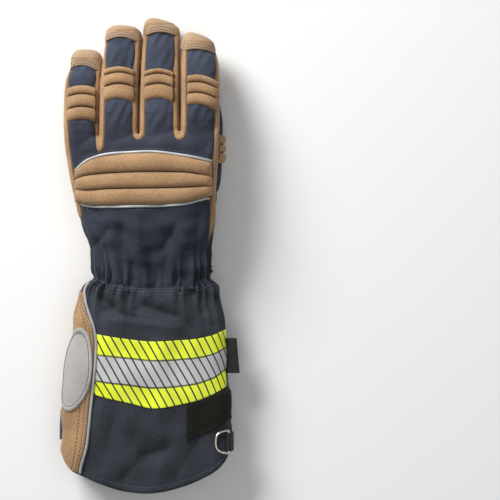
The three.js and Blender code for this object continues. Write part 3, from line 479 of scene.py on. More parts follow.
@dataclass
class Gathers:
    """Pleats that an elastic pulls into the cloth on both sides of a line, and its groove."""

    counts: tuple[int, ...] = (17, 26, 43, 61, 83)
    heights: tuple[float, ...] = (1.2, 2.1, 1.6, 1.0, 0.5)
    reaches: tuple[float, ...] = (30.0, 18.0, 12.0, 7.0, 4.5)
    seed: int = SEED

    def rise(self, turn: Array, distance: Array) -> Array:
        """Height of the pleats.

        Args:
            turn: angles round the wrist, in degrees.
            distance: distances from the gathered line.

        Returns:
            Heights, above and below zero.
        """
        rng = np.random.default_rng(self.seed)
        angle = np.radians(turn)
        total = np.zeros(np.broadcast(turn, distance).shape)
        for count, height, reach in zip(self.counts, self.heights, self.reaches):
            phase, drift, sway = rng.uniform(0, 6.28, 3)
            swing = 0.6 * np.sin(5 * angle + drift) + 0.03 * distance * np.sin(3 * angle + sway)
            fade = np.exp(-((np.abs(distance) / reach) ** 1.3)) * (1 - 0.7 * bell(distance, 0, 3.5))
            total = total + height * fade * np.cos(count * angle + phase + swing)
        return total - 0.9 * bell(distance, 0, 2.2)


@dataclass
class Ripples:
    """Faint waves of slack cloth, in a few set directions."""

    height: float
    length: float
    seed: int

    def rise(self, x: Array, y: Array) -> Array:
        """Height of the waves.

        Args:
            x: places across.
            y: places along.

        Returns:
            Heights, above and below zero.
        """
        rng = np.random.default_rng(self.seed)
        total = np.zeros(np.shape(x))
        for _ in range(6):
            way = rng.uniform(0, math.pi)
            pitch = self.length * rng.uniform(0.6, 1.6)
            bend = 0.8 * np.sin((x * math.sin(way) - y * math.cos(way)) * 3 / pitch + rng.uniform(0, 6))
            wave = (x * math.cos(way) + y * math.sin(way)) * 6.283 / pitch + bend
            total = total + self.height / 2.4 * np.sin(wave + rng.uniform(0, 6.28))
        return total


def dent_depth(dents: Sequence[tuple], x: Array, y: Array) -> Array:
    """How far a set of valleys presses a surface.

    Args:
        dents: x0, y0, x1, y1, depth and half width of each valley.
        x: places across.
        y: places along.

    Returns:
        Depths.
    """
    places = np.stack([np.ravel(x), np.ravel(y)], 1)
    depth = np.zeros(len(places))
    for x0, y0, x1, y1, deep, reach in dents:
        distance = segment_distance(places, np.array([x0, y0]), np.array([x1, y1]))
        depth += deep * np.exp(-((distance / reach) ** 1.5))
    return depth.reshape(np.shape(x))


GATHERS = Gathers()


@dataclass
class CuffForm(Tube):
    """The cuff's skin with its gathers, valleys and slack waves."""

    ripples: Ripples = field(default_factory=lambda: Ripples(0.9, 30, 21))

    def skin(self, y: Array, turn: Array, lift: float | Array = 0.0) -> Array:
        """Places on the cuff's finished outer face.

        Args:
            y: places along the cuff.
            turn: angles round it, in degrees.
            lift: distance out from the face.

        Returns:
            Points with three columns.
        """
        y, turn = np.broadcast_arrays(np.asarray(y, float), np.asarray(turn, float))
        plain = self.points(y, turn)
        row = self.sections(y)
        c, n = self.corner(turn)
        out_x = signed_power(c, self.power - 1) / row["width"]
        out_z = signed_power(n, self.power - 1) / (row["top"] - row["bottom"])
        size = np.hypot(out_x, out_z) + 1e-9
        out_x, out_z = out_x / size, out_z / size
        from_wrist = y - WRIST_LINE.at(plain[..., 0])["y"]
        calm = smoothstep((-from_wrist - 4) / 25)
        rise = GATHERS.rise(turn, from_wrist) + calm * self.ripples.rise(plain[..., 0], y + 40 * np.sign(n))
        for side in Side:
            facing = smoothstep(np.clip(side.value * n, 0, 1) * 1.6)
            rise = rise - facing * dent_depth(CUFF_DENTS[side], plain[..., 0], y)
        rise = rise + lift
        return plain + np.stack([out_x * rise, np.zeros_like(rise), out_z * rise], -1)

    def end(self, turn: Array, line: Table) -> Array:
        """Where a plan line crosses the cuff at each angle.

        Args:
            turn: angles, in degrees.
            line: a table of y over x.

        Returns:
            Places along the cuff.
        """
        y = np.full(np.shape(turn), -100.0)
        for _ in range(12):
            y = 0.5 * y + 0.5 * line.at(self.points(y, turn)[..., 0])["y"]
        return y


CUFF = CuffForm(Table("y x width bottom top lean", [
    [-10, 2.1, 97.5, 9.3, 41, 2], [-19, 2.1, 97, 9.5, 40, 1], [-27, 1, 112, 8.2, 40.5, 0],
    [-38, 0.4, 117.5, 6.6, 42, 0], [-53, 1.2, 124, 5.4, 43, 0], [-68, 0.4, 129, 4.9, 43, 0],
    [-84, -0.9, 134.5, 4.7, 42.5, 0], [-104, -1.4, 137.5, 4.5, 42.5, 0],
    [-125, -1.7, 140.5, 4.5, 42, 0], [-145, -2.1, 142.5, 4.5, 41.5, 0],
    [-165, -2.1, 142.6, 4.3, 40.5, 0], [-182, -2.1, 142.6, 2.8, 39.5, 0],
    [-198, -2.1, 142.6, 0.6, 38.5, 0], [-210, -2.1, 142.6, 0.4, 38, 0],
]), 2.7)


# Meshes


@dataclass
class Shell:
    """Bare mesh data in millimetres: points, and faces of three or four corners."""

    points: Array
    faces: Array

    def normals(self) -> Array:
        """Averages the normals of the faces round each point.

        Returns:
            One unit vector for each point.
        """
        corners = self.points[self.faces]
        flat = np.cross(corners[:, -2] - corners[:, 0], corners[:, -1] - corners[:, -3])
        total = np.zeros_like(self.points)
        for k in range(self.faces.shape[1]):
            for axis in range(3):
                total[:, axis] += np.bincount(self.faces[:, k], flat[:, axis], len(total))
        return unit(total)

    def smoothed(self, passes: int) -> "Shell":
        """Relaxes each point towards its neighbours, then part of the way back.

        Args:
            passes: how many times.

        Returns:
            The relaxed shell.
        """
        sides = np.vstack([self.faces[:, [k, (k + 1) % self.faces.shape[1]]]
                           for k in range(self.faces.shape[1])])
        count = np.bincount(sides.ravel(), minlength=len(self.points))[:, None]
        points = self.points.copy()
        for index in range(passes):
            total = np.zeros_like(points)
            for axis in range(3):
                for near, far in (sides.T, sides.T[::-1]):
                    total[:, axis] += np.bincount(near, points[far, axis], len(points))
            step = 0.5 if index % 2 == 0 else -0.47
            points += step * (total / np.maximum(count, 1) - points)
        return Shell(points, self.faces)

    def triangles(self) -> Array:
        """The faces as triangles.

        Returns:
            Corners, three to a row.
        """
        if self.faces.shape[1] == 3:
            return self.faces
        return np.vstack([self.faces[:, [0, 1, 2]], self.faces[:, [0, 2, 3]]])


def make_active(obj: Object) -> None:
    """Selects one object alone and makes it the active one."""
    for each in list(bpy.context.selected_objects):
        each.select_set(False)
    obj.select_set(True)
    bpy.context.view_layer.objects.active = obj


def mesh_object(name: str, points: Array, faces: Sequence, scale: float = MM) -> Object:
    """Makes an object from points and faces.

    Args:
        name: the object's name.
        points: places, in millimetres.
        faces: corners of each face.
        scale: metres to one unit of the points.

    Returns:
        The linked object, smooth shaded.
    """
    mesh = bpy.data.meshes.new(name)
    faces = faces.tolist() if isinstance(faces, np.ndarray) else faces
    points = np.array(points, float)
    if scale == MM:
        points[:, 2] = np.maximum(points[:, 2], FLOOR)
    mesh.from_pydata((points * scale).tolist(), [], faces)
    mesh.validate()
    obj = bpy.data.objects.new(name, mesh)
    bpy.context.scene.collection.objects.link(obj)
    mesh.polygons.foreach_set("use_smooth", np.ones(len(mesh.polygons), bool))
    return obj


def box_mm(node: str) -> tuple[Array, Array]:
    """The lower and upper corner of a frame node's box, in millimetres."""
    low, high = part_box(node)
    return np.array(low) / MM, np.array(high) / MM


def add_values(obj: Object, name: str, values: Array) -> None:
    """Stores one number for each point of a mesh, for its material to read.

    Args:
        obj: the object.
        name: the attribute's name.
        values: the numbers.
    """
    layer = obj.data.attributes.new(name, "FLOAT", "POINT")
    layer.data.foreach_set("value", np.asarray(values, np.float32))


def add_plan(obj: Object, plan: Array) -> None:
    """Stores flat coordinates, in millimetres, as the mesh's UV layer.

    Args:
        obj: the object.
        plan: two numbers for each point.
    """
    layer = obj.data.uv_layers.new(name="cloth_mm")
    corner = np.zeros(len(obj.data.loops), np.int32)
    obj.data.loops.foreach_get("vertex_index", corner)
    layer.data.foreach_set("uv", np.asarray(plan, np.float32)[corner].ravel())


def modify(obj: Object, kind: str, **settings: object) -> Object:
    """Adds a modifier with its settings and applies it."""
    modifier = obj.modifiers.new(kind.lower(), kind)
    for key, value in settings.items():
        setattr(modifier, key, value)
    make_active(obj)
    bpy.ops.object.modifier_apply(modifier=modifier.name)
    return obj


def crisp(obj: Object, degrees: float = 38) -> Object:
    """Shades smooth except where faces meet at more than an angle."""
    make_active(obj)
    bpy.ops.object.shade_smooth_by_angle(angle=math.radians(degrees))
    return obj


def grid_faces(rows: int, columns: int, closed: bool = False) -> Array:
    """Faces of a grid of points.

    Args:
        rows: rows of points.
        columns: points to a row.
        closed: whether each row joins up with its own start.

    Returns:
        Corners of the faces, four to a row.
    """
    j, i = np.meshgrid(np.arange(rows - 1), np.arange(columns if closed else columns - 1), indexing="ij")
    a = (j * columns + i).ravel()
    b = (j * columns + (i + 1) % columns).ravel()
    return np.stack([a, b, b + columns, a + columns], 1)


def grid_normals(grid: Array) -> Array:
    """Normals of a grid of points, on its left when u runs across and v along.

    Args:
        grid: rows, columns and three numbers.

    Returns:
        Unit vectors in the same shape.
    """
    return unit(np.cross(np.gradient(grid, axis=1), np.gradient(grid, axis=0)))


def grid_plan(grid: Array) -> Array:
    """Flat coordinates of a grid from the distances along it.

    Args:
        grid: rows, columns and three numbers.

    Returns:
        Two numbers for each point, in millimetres.
    """
    u, v = measured(grid, 1), measured(grid)
    middle = grid.shape[1] // 2
    u = u - u[:, middle:middle + 1]
    v = np.broadcast_to(v[:, middle:middle + 1], v.shape)
    return np.stack([u, v], -1).reshape(-1, 2)


def sheet(name: str, face: Array, depth: float, edge: float, plan: Array | None = None) -> Object:
    """A piece of cloth or leather with a rounded rim, from its outer face.

    Args:
        name: the object's name.
        face: rows, columns and three numbers.
        depth: how far its sides reach down.
        edge: how far the rim is rounded.
        plan: flat coordinates, if not measured on the face.

    Returns:
        The object, open below, with flat coordinates.
    """
    rows, columns = face.shape[:2]
    points = face.reshape(-1, 3)
    index = np.arange(rows * columns).reshape(rows, columns)
    rim = np.concatenate([index[0, :-1], index[:-1, -1], index[-1, :0:-1], index[:0:-1, 0]])
    up = grid_normals(face).reshape(-1, 3)[rim]
    ring = points[rim]
    outward = unit(np.cross(np.roll(ring, -1, axis=0) - np.roll(ring, 1, axis=0), up))
    rings = [ring + outward * edge - up * drop for drop in (edge * 0.9, depth)]
    faces, previous = [grid_faces(rows, columns)], rim
    for k in range(2):
        fresh = len(points) + k * len(rim) + np.arange(len(rim))
        faces.append(np.stack([previous, fresh, np.roll(fresh, -1), np.roll(previous, -1)], 1))
        previous = fresh
    obj = mesh_object(name, np.vstack([points, *rings]), np.vstack(faces))
    plan = grid_plan(face) if plan is None else plan
    add_plan(obj, np.vstack([plan, plan[rim], plan[rim]]))
    return obj


def sweep(name: str, path: Array, radius: float, flat: float = 1.0, up: Array | None = None) -> Object:
    """A round or flattened cord along a path.

    Args:
        name: the object's name.
        path: points along the middle.
        radius: half its width.
        flat: its height as a share of its width.
        up: the way up at each point of the path.

    Returns:
        The object.
    """
    count, sides = len(path), 12
    ahead = unit(np.gradient(path, axis=0))
    up = np.tile([0.0, 0.0, 1.0], (count, 1)) if up is None else up
    side = unit(np.cross(ahead, up))
    rise = np.cross(side, ahead)
    angle = np.linspace(0, 2 * math.pi, sides, endpoint=False)
    ring = np.stack([np.cos(angle), np.sin(angle) * flat], 1) * radius
    points = path[:, None] + ring[None, :, :1] * side[:, None] + ring[None, :, 1:] * rise[:, None]
    ends = [list(range(sides))[::-1], list(range((count - 1) * sides, count * sides))]
    return mesh_object(name, points.reshape(-1, 3), grid_faces(count, sides, closed=True).tolist() + ends)


class Ground:
    """A finished surface that other pieces are laid on."""

    @classmethod
    def of_grid(cls, grid: Array) -> "Ground":
        """Prepares a grid of points for looking up places."""
        shell = Shell(grid.reshape(-1, 3), grid_faces(*grid.shape[:2]))
        return cls(shell.points, shell.triangles())

    def __init__(self, points: Array, triangles: Array) -> None:
        """Prepares the surface for looking up places.

        Args:
            points: places, in millimetres.
            triangles: corners of its triangles.
        """
        self.tree = BVHTree.FromPolygons(points.tolist(), triangles.tolist())

    def drop(self, plan: Array, side: Side = Side.BACK) -> tuple[Array, Array]:
        """Looks up the surface under or over places in plan.

        Args:
            plan: places, two numbers each.
            side: the face looked at.

        Returns:
            The points and the normals there.
        """
        high = 200.0 * side.value
        way = Vector((0, 0, -side.value))
        places, normals = [], []
        for x, y in plan:
            spot, normal, _, _ = self.tree.ray_cast(Vector((x, y, high)), way)
            if spot is None:
                spot, normal, _, _ = self.tree.find_nearest(Vector((x, y, 25.0)))
            places.append(spot)
            normals.append(normal)
        return np.array(places), np.array(normals)

    def near(self, points: Array) -> tuple[Array, Array]:
        """Looks up the nearest places on the surface.

        Args:
            points: places, three numbers each.

        Returns:
            The points and the normals there.
        """
        places, normals = zip(*(self.tree.find_nearest(Vector(point))[:2] for point in points))
        return np.array(places), np.array(normals)


def calm_path(path: Array, passes: int) -> Array:
    """Relaxes the inside of a path, and leaves its ends."""
    path = path.copy()
    for _ in range(passes):
        path[1:-1] = (path[:-2] + path[2:] + 2 * path[1:-1]) / 4
    return path


def calm_grid(grid: Array, passes: int) -> Array:
    """Relaxes the inside of a grid of points.

    Args:
        grid: rows, columns and three numbers.
        passes: how many times.

    Returns:
        The relaxed grid.
    """
    grid = grid.copy()
    for _ in range(passes):
        mean = (grid[:-2, 1:-1] + grid[2:, 1:-1] + grid[1:-1, :-2] + grid[1:-1, 2:]) / 4
        grid[1:-1, 1:-1] += 0.6 * (mean - grid[1:-1, 1:-1])
    return grid


def clip(values: Array, triangles: Array, share: Array) -> tuple[Array, Array, Array]:
    """Keeps the part of a mesh where a field is above zero, with a smooth border.

    Args:
        values: numbers carried by each point, its place first.
        triangles: corners.
        share: the field at each point.

    Returns:
        The kept points' numbers, the triangles and the border's segments.
    """
    inside = share > 0
    count = inside[triangles].sum(1)

    def turned(rows: Array, first: Array) -> Array:
        """Rotates triangles so that the corner that stands alone comes first."""
        return np.stack([rows[np.arange(len(rows)), (first + k) % 3] for k in range(3)], 1)

    one, two = triangles[count == 1], triangles[count == 2]
    one = turned(one, np.argmax(inside[one], axis=1))
    two = turned(two, np.argmin(inside[two], axis=1))
    # A new point on each edge that the border crosses
    edges = np.vstack([one[:, :2], one[:, ::2], two[:, :2], two[:, ::2]])
    edges, back = np.unique(np.sort(edges, axis=1), axis=0, return_inverse=True)
    low, high = edges.T
    t = np.clip(share[low] / (share[low] - share[high]), 0.02, 0.98)[:, None]
    everything = np.vstack([values, values[low] * (1 - t) + values[high] * t])
    a, b, c, d = np.split(len(values) + back.ravel(), np.cumsum([len(one), len(one), len(two)]))
    kept = np.vstack([
        triangles[count == 3], np.stack([one[:, 0], a, b], 1),
        np.stack([c, two[:, 1], two[:, 2]], 1), np.stack([c, two[:, 2], d], 1),
    ])
    used, renumbered = np.unique(kept, return_inverse=True)
    renumber = np.zeros(len(everything), int)
    renumber[used] = np.arange(len(used))
    border = np.vstack([np.stack([a, b], 1), np.stack([d, c], 1)])
    return everything[used], renumbered.reshape(kept.shape), renumber[border]


@dataclass
class Patch:
    """A piece cut from the hand's skin, carrying its depth inside the border and other numbers."""

    points: Array
    normals: Array
    extra: Array
    triangles: Array
    border: Array

    @classmethod
    def cut(cls, shell: Shell, normals: Array, share: Array, *extra: Array) -> "Patch":
        """Cuts the part of a skin where a field is above zero.

        Args:
            shell: the skin, in triangles.
            normals: its normals.
            share: the field.
            extra: more numbers to carry.

        Returns:
            The piece.
        """
        data = np.column_stack([shell.points, normals, share, *extra])
        data, triangles, border = clip(data, shell.faces, share)
        return cls(data[:, :3], unit(data[:, 3:6]), data[:, 6:], triangles, border)

    def lift(self, rise: Array) -> Array:
        """The piece's points, moved out by a rise."""
        return self.points + self.normals * np.asarray(rise)[:, None]

    def build(self, name: str, moved: Array, depth: float) -> tuple[Object, Array]:
        """Makes the object, with walls down from its border.

        Args:
            name: the object's name.
            moved: where its points end up.
            depth: height of the walls.

        Returns:
            The object and its points, the walls' last.
        """
        rim = np.unique(self.border)
        lookup = np.zeros(len(moved), int)
        lookup[rim] = len(moved) + np.arange(len(rim))
        a, b = self.border.T
        walls = np.stack([b, a, lookup[a], lookup[b]], 1)
        everything = np.vstack([moved, moved[rim] - self.normals[rim] * depth])
        return mesh_object(name, everything, self.triangles.tolist() + walls.tolist()), everything


# Materials


def linear(code: str) -> tuple[float, float, float, float]:
    """Turns an sRGB hex colour into linear values.

    Args:
        code: six hex digits.

    Returns:
        Red, green, blue and 1.
    """
    parts = [int(code[i:i + 2], 16) / 255 for i in (0, 2, 4)]
    parts = [p / 12.92 if p <= 0.04045 else ((p + 0.055) / 1.055) ** 2.4 for p in parts]
    return (*parts, 1.0)


class Recipe:
    """A material's node tree, with one call to add a node."""

    def __init__(self, name: str) -> None:
        """Starts a material with one shader.

        Args:
            name: the material's name.
        """
        self.material = bpy.data.materials.new(name)
        self.material.use_nodes = True
        self.tree = self.material.node_tree
        self.shader = self.tree.nodes["Principled BSDF"]
        self.coords = self.node("ShaderNodeTexCoord")

    def node(self, kind: str, inputs: dict | None = None, **settings) -> bpy.types.Node:
        """Adds a node.

        Args:
            kind: the node's type.
            inputs: values or output sockets by input name or number.
            settings: the node's own settings.

        Returns:
            The node.
        """
        node = self.tree.nodes.new(kind)
        for key, value in settings.items():
            setattr(node, key, value)
        self.fill(node, inputs or {})
        return node

    def fill(self, node: bpy.types.Node, inputs: dict) -> None:
        """Links or sets a node's inputs by name or number."""
        for key, value in inputs.items():
            if isinstance(value, bpy.types.NodeSocket):
                self.tree.links.new(value, node.inputs[key])
            else:
                node.inputs[key].default_value = value

    def math(self, operation: str, first: object, second: object = 0.0, third: object = 0.0) -> object:
        """Adds one sum and gives its result socket."""
        return self.node("ShaderNodeMath", {0: first, 1: second, 2: third}, operation=operation).outputs[0]

    def noise(self, period: float, detail: float = 3.0) -> object:
        """Adds a noise with a period in millimetres and gives its value socket."""
        inputs = {"Scale": 1.0 / (period * MM), "Detail": detail, "Vector": self.coords.outputs["Object"]}
        return self.node("ShaderNodeTexNoise", inputs).outputs["Fac"]

    def wave(self, pitch: float, way: str, sway: float, more: dict | None = None) -> object:
        """Adds ridges with a pitch in millimetres and gives their value socket."""
        inputs = {"Vector": self.coords.outputs["Object"], "Scale": 0.314 / (pitch * MM),
                  "Distortion": sway, **(more or {})}
        return self.node("ShaderNodeTexWave", inputs, bands_direction=way).outputs["Fac"]

    def cells(self, pitch: float) -> object:
        """Adds cells with a pitch in millimetres and gives the distance to their middles."""
        inputs = {"Vector": self.coords.outputs["Object"], "Scale": 1 / (pitch * MM)}
        return self.node("ShaderNodeTexVoronoi", inputs).outputs["Distance"]

    def mix(self, share: object, first: object, second: object) -> object:
        """Mixes two colours and gives the result socket."""
        return self.node("ShaderNodeMix", {0: share, 6: first, 7: second}, data_type="RGBA").outputs[2]

    def ramp(self, value: object, low: float, high: float) -> object:
        """Stretches a value so that low gives 0 and high gives 1."""
        return self.node("ShaderNodeMapRange", {0: value, 1: low, 2: high}).outputs[0]

    def bump(self, height: object, distance: float, strength: float = 1.0, below: object = None) -> object:
        """Adds a bump of a real height in millimetres and gives its normal socket."""
        inputs = {"Height": height, "Distance": distance * MM, "Strength": strength}
        if below is not None:
            inputs["Normal"] = below
        return self.node("ShaderNodeBump", inputs).outputs["Normal"]

    def attribute(self, name: str) -> object:
        """Reads a number stored on the mesh."""
        return self.node("ShaderNodeAttribute", attribute_name=name).outputs["Fac"]

    def finish(self, color: object, rough: object, normal: object = None, **plain: float) -> Material:
        """Links the shader.

        Args:
            color: colour or socket.
            rough: roughness or socket.
            normal: normal socket.
            plain: other inputs of the shader, with underscores for spaces.

        Returns:
            The material.
        """
        values = {"Base Color": color, "Roughness": rough}
        values.update({key.replace("_", " "): value for key, value in plain.items()})
        if normal is not None:
            values["Normal"] = normal
        self.fill(self.shader, values)
        return self.material


@dataclass(frozen=True)
class Leather:
    """Grained split leather with a faint diagonal emboss."""

    name: str = "tan grained leather"
    light: str = "b48f68"
    dark: str = "8a6a49"
    # Dark colour for seam lines, also used as painted shade in grooves and under edges
    seam_and_groove_shade: str = "3a2a1c"
    emboss_mm: float = 1.9
    emboss_turn: float = 42.0

    def build(self) -> Material:
        """Makes the material and returns it."""
        recipe = Recipe(self.name)
        # Diagonal ridges pressed into the hide, broken up by noise
        turn = {"Vector": recipe.coords.outputs["Object"], "Rotation": (0, 0, math.radians(self.emboss_turn))}
        turned = recipe.node("ShaderNodeMapping", turn)
        torn = {"Vector": turned.outputs[0], "Detail": 2.0, "Detail Scale": 2.2}
        warped = recipe.wave(self.emboss_mm, "X", 3.2, torn)
        pores = recipe.cells(0.9)
        broad = recipe.noise(26, 4)
        fine = recipe.noise(1.6, 4)
        tone = recipe.math("MULTIPLY_ADD", broad, 0.55, recipe.math("MULTIPLY", fine, 0.45))
        tone = recipe.math("ADD", tone, recipe.math("MULTIPLY_ADD", warped, 0.2, -0.1))
        color = recipe.mix(recipe.ramp(tone, 0.34, 0.66), linear(self.dark), linear(self.light))
        color = recipe.mix(recipe.attribute("fade"), color, linear("b09a84"))
        # Seams and grooves: the stored distance in millimetres turns into a dark line, partly the seams' own
        # dark joints and partly painted shade in the grooves between the pad rolls and on the walls under the
        # cap and pad edges
        seam = recipe.attribute("seam")
        near = recipe.math("EXPONENT", recipe.math("MULTIPLY", recipe.math("MULTIPLY", seam, seam), -2.2))
        color = recipe.mix(recipe.math("MULTIPLY", near, 0.8), color, linear(self.seam_and_groove_shade))
        grain = recipe.math("MULTIPLY_ADD", warped, 0.5, recipe.math("MULTIPLY", pores, 0.5))
        grain = recipe.math("ADD", grain, recipe.math("MULTIPLY", fine, 0.5))
        normal = recipe.bump(recipe.noise(7, 2), 0.25, 0.5)
        normal = recipe.bump(grain, 0.26, 0.8, normal)
        normal = recipe.bump(recipe.math("MULTIPLY", near, -1.0), 0.5, 0.8, normal)
        soft = {"Sheen_Weight": 0.12, "Sheen_Roughness": 0.5, "Specular_IOR_Level": 0.35}
        return recipe.finish(color, 0.78, normal, **soft)


@dataclass(frozen=True)
class Canvas:
    """Tightly woven cloth with stray light fibres."""

    name: str = "navy woven cloth"
    light: str = "414553"
    dark: str = "22252c"
    thread_mm: float = 0.75
    lint: float = 1.0

    def build(self) -> Material:
        """Makes the material and returns it."""
        recipe = Recipe(self.name)
        warp, weft = (recipe.wave(self.thread_mm, way, 1.2) for way in "XY")
        weave = recipe.math("MULTIPLY", warp, weft)
        broad = recipe.noise(30, 5)
        speckle = recipe.noise(1.1, 3)
        tone = recipe.math("MULTIPLY_ADD", broad, 0.45, recipe.math("MULTIPLY", speckle, 0.4))
        tone = recipe.math("MULTIPLY_ADD", weave, 0.35, tone)
        color = recipe.mix(recipe.ramp(tone, 0.34, 0.68), linear(self.dark), linear(self.light))
        # Worn paler towards the fingertips, with a few light fibres caught in the weave
        color = recipe.mix(recipe.attribute("fade"), color, linear("586074"))
        fibre = recipe.math("LESS_THAN", recipe.cells(5.5), 0.055)
        color = recipe.mix(recipe.math("MULTIPLY", fibre, 0.3 * self.lint), color, linear("a8adb8"))
        normal = recipe.bump(recipe.noise(9, 3), 0.7, 0.7)
        normal = recipe.bump(weave, 0.22, 0.8, normal)
        soft = {"Sheen_Weight": 0.08, "Sheen_Roughness": 0.4, "Specular_IOR_Level": 0.2}
        return recipe.finish(color, 0.88, normal, **soft)


@dataclass(frozen=True)
class Band:
    """A strip of reflective tape crossed by slanting dark lines."""

    name: str
    color: str
    slope: float
    pitch_mm: float = 7.2
    line_mm: float = 1.35
    rough: float = 0.42
    painted_glow: float = 0.0
    line: str = "23261f"

    def build(self) -> Material:
        """Makes the material and returns it."""
        recipe = Recipe(self.name)
        parts = recipe.node("ShaderNodeSeparateXYZ", {0: recipe.coords.outputs["UV"]}).outputs
        slid = recipe.math("MULTIPLY_ADD", parts[1], self.slope, parts[0])
        step = recipe.math("WRAP", slid, self.pitch_mm, 0.0)
        edge = recipe.ramp(step, self.line_mm, self.line_mm + 0.25)
        # Dark cloth shows along both long edges of the strip
        rim = recipe.ramp(recipe.attribute("rim"), 0.5, 0.75)
        shown = recipe.math("MULTIPLY", edge, rim)
        beads = recipe.noise(0.35, 2)
        tone = recipe.mix(recipe.ramp(beads, 0.3, 0.7), linear(self.color), linear("ffffff"))
        body = recipe.mix(0.05, linear(self.color), tone)
        color = recipe.mix(shown, linear(self.line), body)
        # Painted light: the strip's body also emits its own colour, a painted glow that makes the tape
        # brighter than the lamps light it
        painted_glow = recipe.math("MULTIPLY", shown, self.painted_glow)
        normal = recipe.bump(recipe.noise(6, 2), 0.15, 0.4)
        normal = recipe.bump(shown, 0.1, 0.6, normal)
        recipe.tree.links.new(color, recipe.shader.inputs["Emission Color"])
        return recipe.finish(color, self.rough, normal, Emission_Strength=painted_glow, Specular_IOR_Level=0.5)


@dataclass(frozen=True)
class Webbing:
    """Narrow ribbed weave for loops, tag and binding."""

    name: str = "black ribbed webbing"
    light: str = "34332f"
    dark: str = "161513"
    rib_mm: float = 0.8
    rough: float = 0.85

    def build(self) -> Material:
        """Makes the material and returns it."""
        recipe = Recipe(self.name)
        ribs = recipe.wave(self.rib_mm, "DIAGONAL", 0.8)
        tone = recipe.math("MULTIPLY_ADD", ribs, 0.4, recipe.math("MULTIPLY", recipe.noise(3, 4), 0.6))
        color = recipe.mix(recipe.ramp(tone, 0.3, 0.75), linear(self.dark), linear(self.light))
        normal = recipe.bump(ribs, 0.15, 0.7)
        return recipe.finish(color, self.rough, normal, Sheen_Weight=0.15, Specular_IOR_Level=0.25)


@dataclass(frozen=True)
class Plain:
    """A finish of one colour with a fine, even surface."""

    name: str
    color: str
    rough: float
    metal: float = 0.0
    grain_mm: float = 1.2
    grain: float = 0.05
    change: float = 0.12
    specular: float = 0.4

    def build(self) -> Material:
        """Makes the material and returns it."""
        recipe = Recipe(self.name)
        worn = recipe.noise(self.grain_mm * 6, 4)
        shade = tuple(part * (1 - self.change * 2) for part in linear(self.color)[:3]) + (1.0,)
        color = recipe.mix(recipe.ramp(worn, 0.35, 0.65), shade, linear(self.color))
        normal = recipe.bump(recipe.noise(self.grain_mm, 3), self.grain, 0.6)
        return recipe.finish(color, self.rough, normal, Metallic=self.metal, Specular_IOR_Level=self.specular)


def made_from(recipe: Leather | Canvas | Band | Webbing | Plain) -> Material:
    """A dataclass field that builds one finish."""
    return field(default_factory=recipe.build)


@dataclass
class Finishes:
    """Every material of the glove, made once."""

    leather: Material = made_from(Leather())
    cloth: Material = made_from(Canvas())
    strap: Material = made_from(Webbing("navy strap webbing", "535867", "3a3f4c", 1.2))
    cuff: Material = made_from(Canvas("dark navy cuff cloth", "42464e", "25272c"))
    loop: Material = made_from(Canvas("black loop fabric", "262620", "131310", 0.6, 0.4))
    webbing: Material = made_from(Webbing())
    silver_piping: Material = made_from(
        Plain("silver reflective piping", "b4b6b8", 0.38, 0.1, 0.5, 0.03, 0.06, 0.5))
    pale_piping: Material = made_from(Plain("pale woven piping", "a6a8a9", 0.6, 0, 0.6, 0.05, 0.08))
    badge: Material = made_from(Plain("grey embroidered cloth", "a9a5a1", 0.8, 0, 0.5, 0.08, 0.04, 0.3))
    # The yellow tape carries a painted glow
    yellow: Material = made_from(Band("yellow reflective tape", "e2ee08", 0.57, painted_glow=0.05))
    silver: Material = made_from(Band("silver reflective tape", "babcbb", 0.57, rough=0.5))
    nickel: Material = made_from(Plain("nickel plated steel", "d9d3c8", 0.24, 1.0, 0.4, 0.01, 0.05, 0.5))
    rubber: Material = made_from(Plain("grey moulded rubber", "4c4b48", 0.7, 0, 0.3, 0.03, 0.08, 0.4))
    thread_cool: Material = made_from(Plain("grey sewing thread", "565e6e", 0.8, 0, 0.3, 0.02, 0.1, 0.3))
    thread_dark: Material = made_from(Plain("dark sewing thread", "343741", 0.8, 0, 0.3, 0.02, 0.1, 0.3))


def settle(obj: Object, material: Material, nodes: Sequence[str] = (),
           body: str = "glove") -> Object:
    """Gives a finished piece its material, its body and the frame nodes it stands for.

    Args:
        obj: the piece.
        material: its finish.
        nodes: the frame nodes that it replaces.
        body: the body that it moves with.

    Returns:
        The piece.
    """
    obj.data.materials.clear()
    obj.data.materials.append(material)
    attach(obj, body)
    if nodes:
        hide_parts(*nodes)
    return obj


@dataclass
class Sewing:
    """Rows of stitches, gathered into one mesh for each thread."""

    name: str
    length: float = 2.1
    width: float = 0.62
    spots: list = field(default_factory=list)

    def row(self, path: Array, normals: Array, lift: float = 0.1) -> None:
        """Adds a row of stitches.

        Args:
            path: points along the row, on the surface, at the stitch pitch.
            normals: the surface's normals there.
            lift: how far the thread stands out.
        """
        self.spots.append((path + normals * lift, unit(np.gradient(path, axis=0)), normals))

    def build(self) -> Object:
        """Makes the mesh of all stitches.

        Returns:
            The object.
        """
        place, ahead, up = (np.vstack(parts) for parts in zip(*self.spots))
        side = unit(np.cross(up, ahead))
        rings = [(-0.5, 0.35), (-0.3, 0.9), (0.3, 0.9), (0.5, 0.35)]
        angle = np.linspace(0, 2 * math.pi, 6, endpoint=False)
        half, high = self.width / 2, self.width / 2.4
        bead = np.array([[along * self.length, math.cos(a) * size * half, math.sin(a) * size * high]
                         for along, size in rings for a in angle])
        points = (place[:, None] + bead[None, :, :1] * ahead[:, None]
                  + bead[None, :, 1:2] * side[:, None] + bead[None, :, 2:] * up[:, None])
        faces = grid_faces(4, 6, closed=True)
        offsets = (np.arange(len(place)) * 24)[:, None, None]
        quads = (faces[None] + offsets).reshape(-1, 4).tolist()
        caps = [[int(k * 24 + i) for i in (5, 4, 3, 2, 1, 0)] for k in range(len(place))]
        caps += [[int(k * 24 + 18 + i) for i in range(6)] for k in range(len(place))]
        return mesh_object(self.name, points.reshape(-1, 3), quads + caps)


# The hand


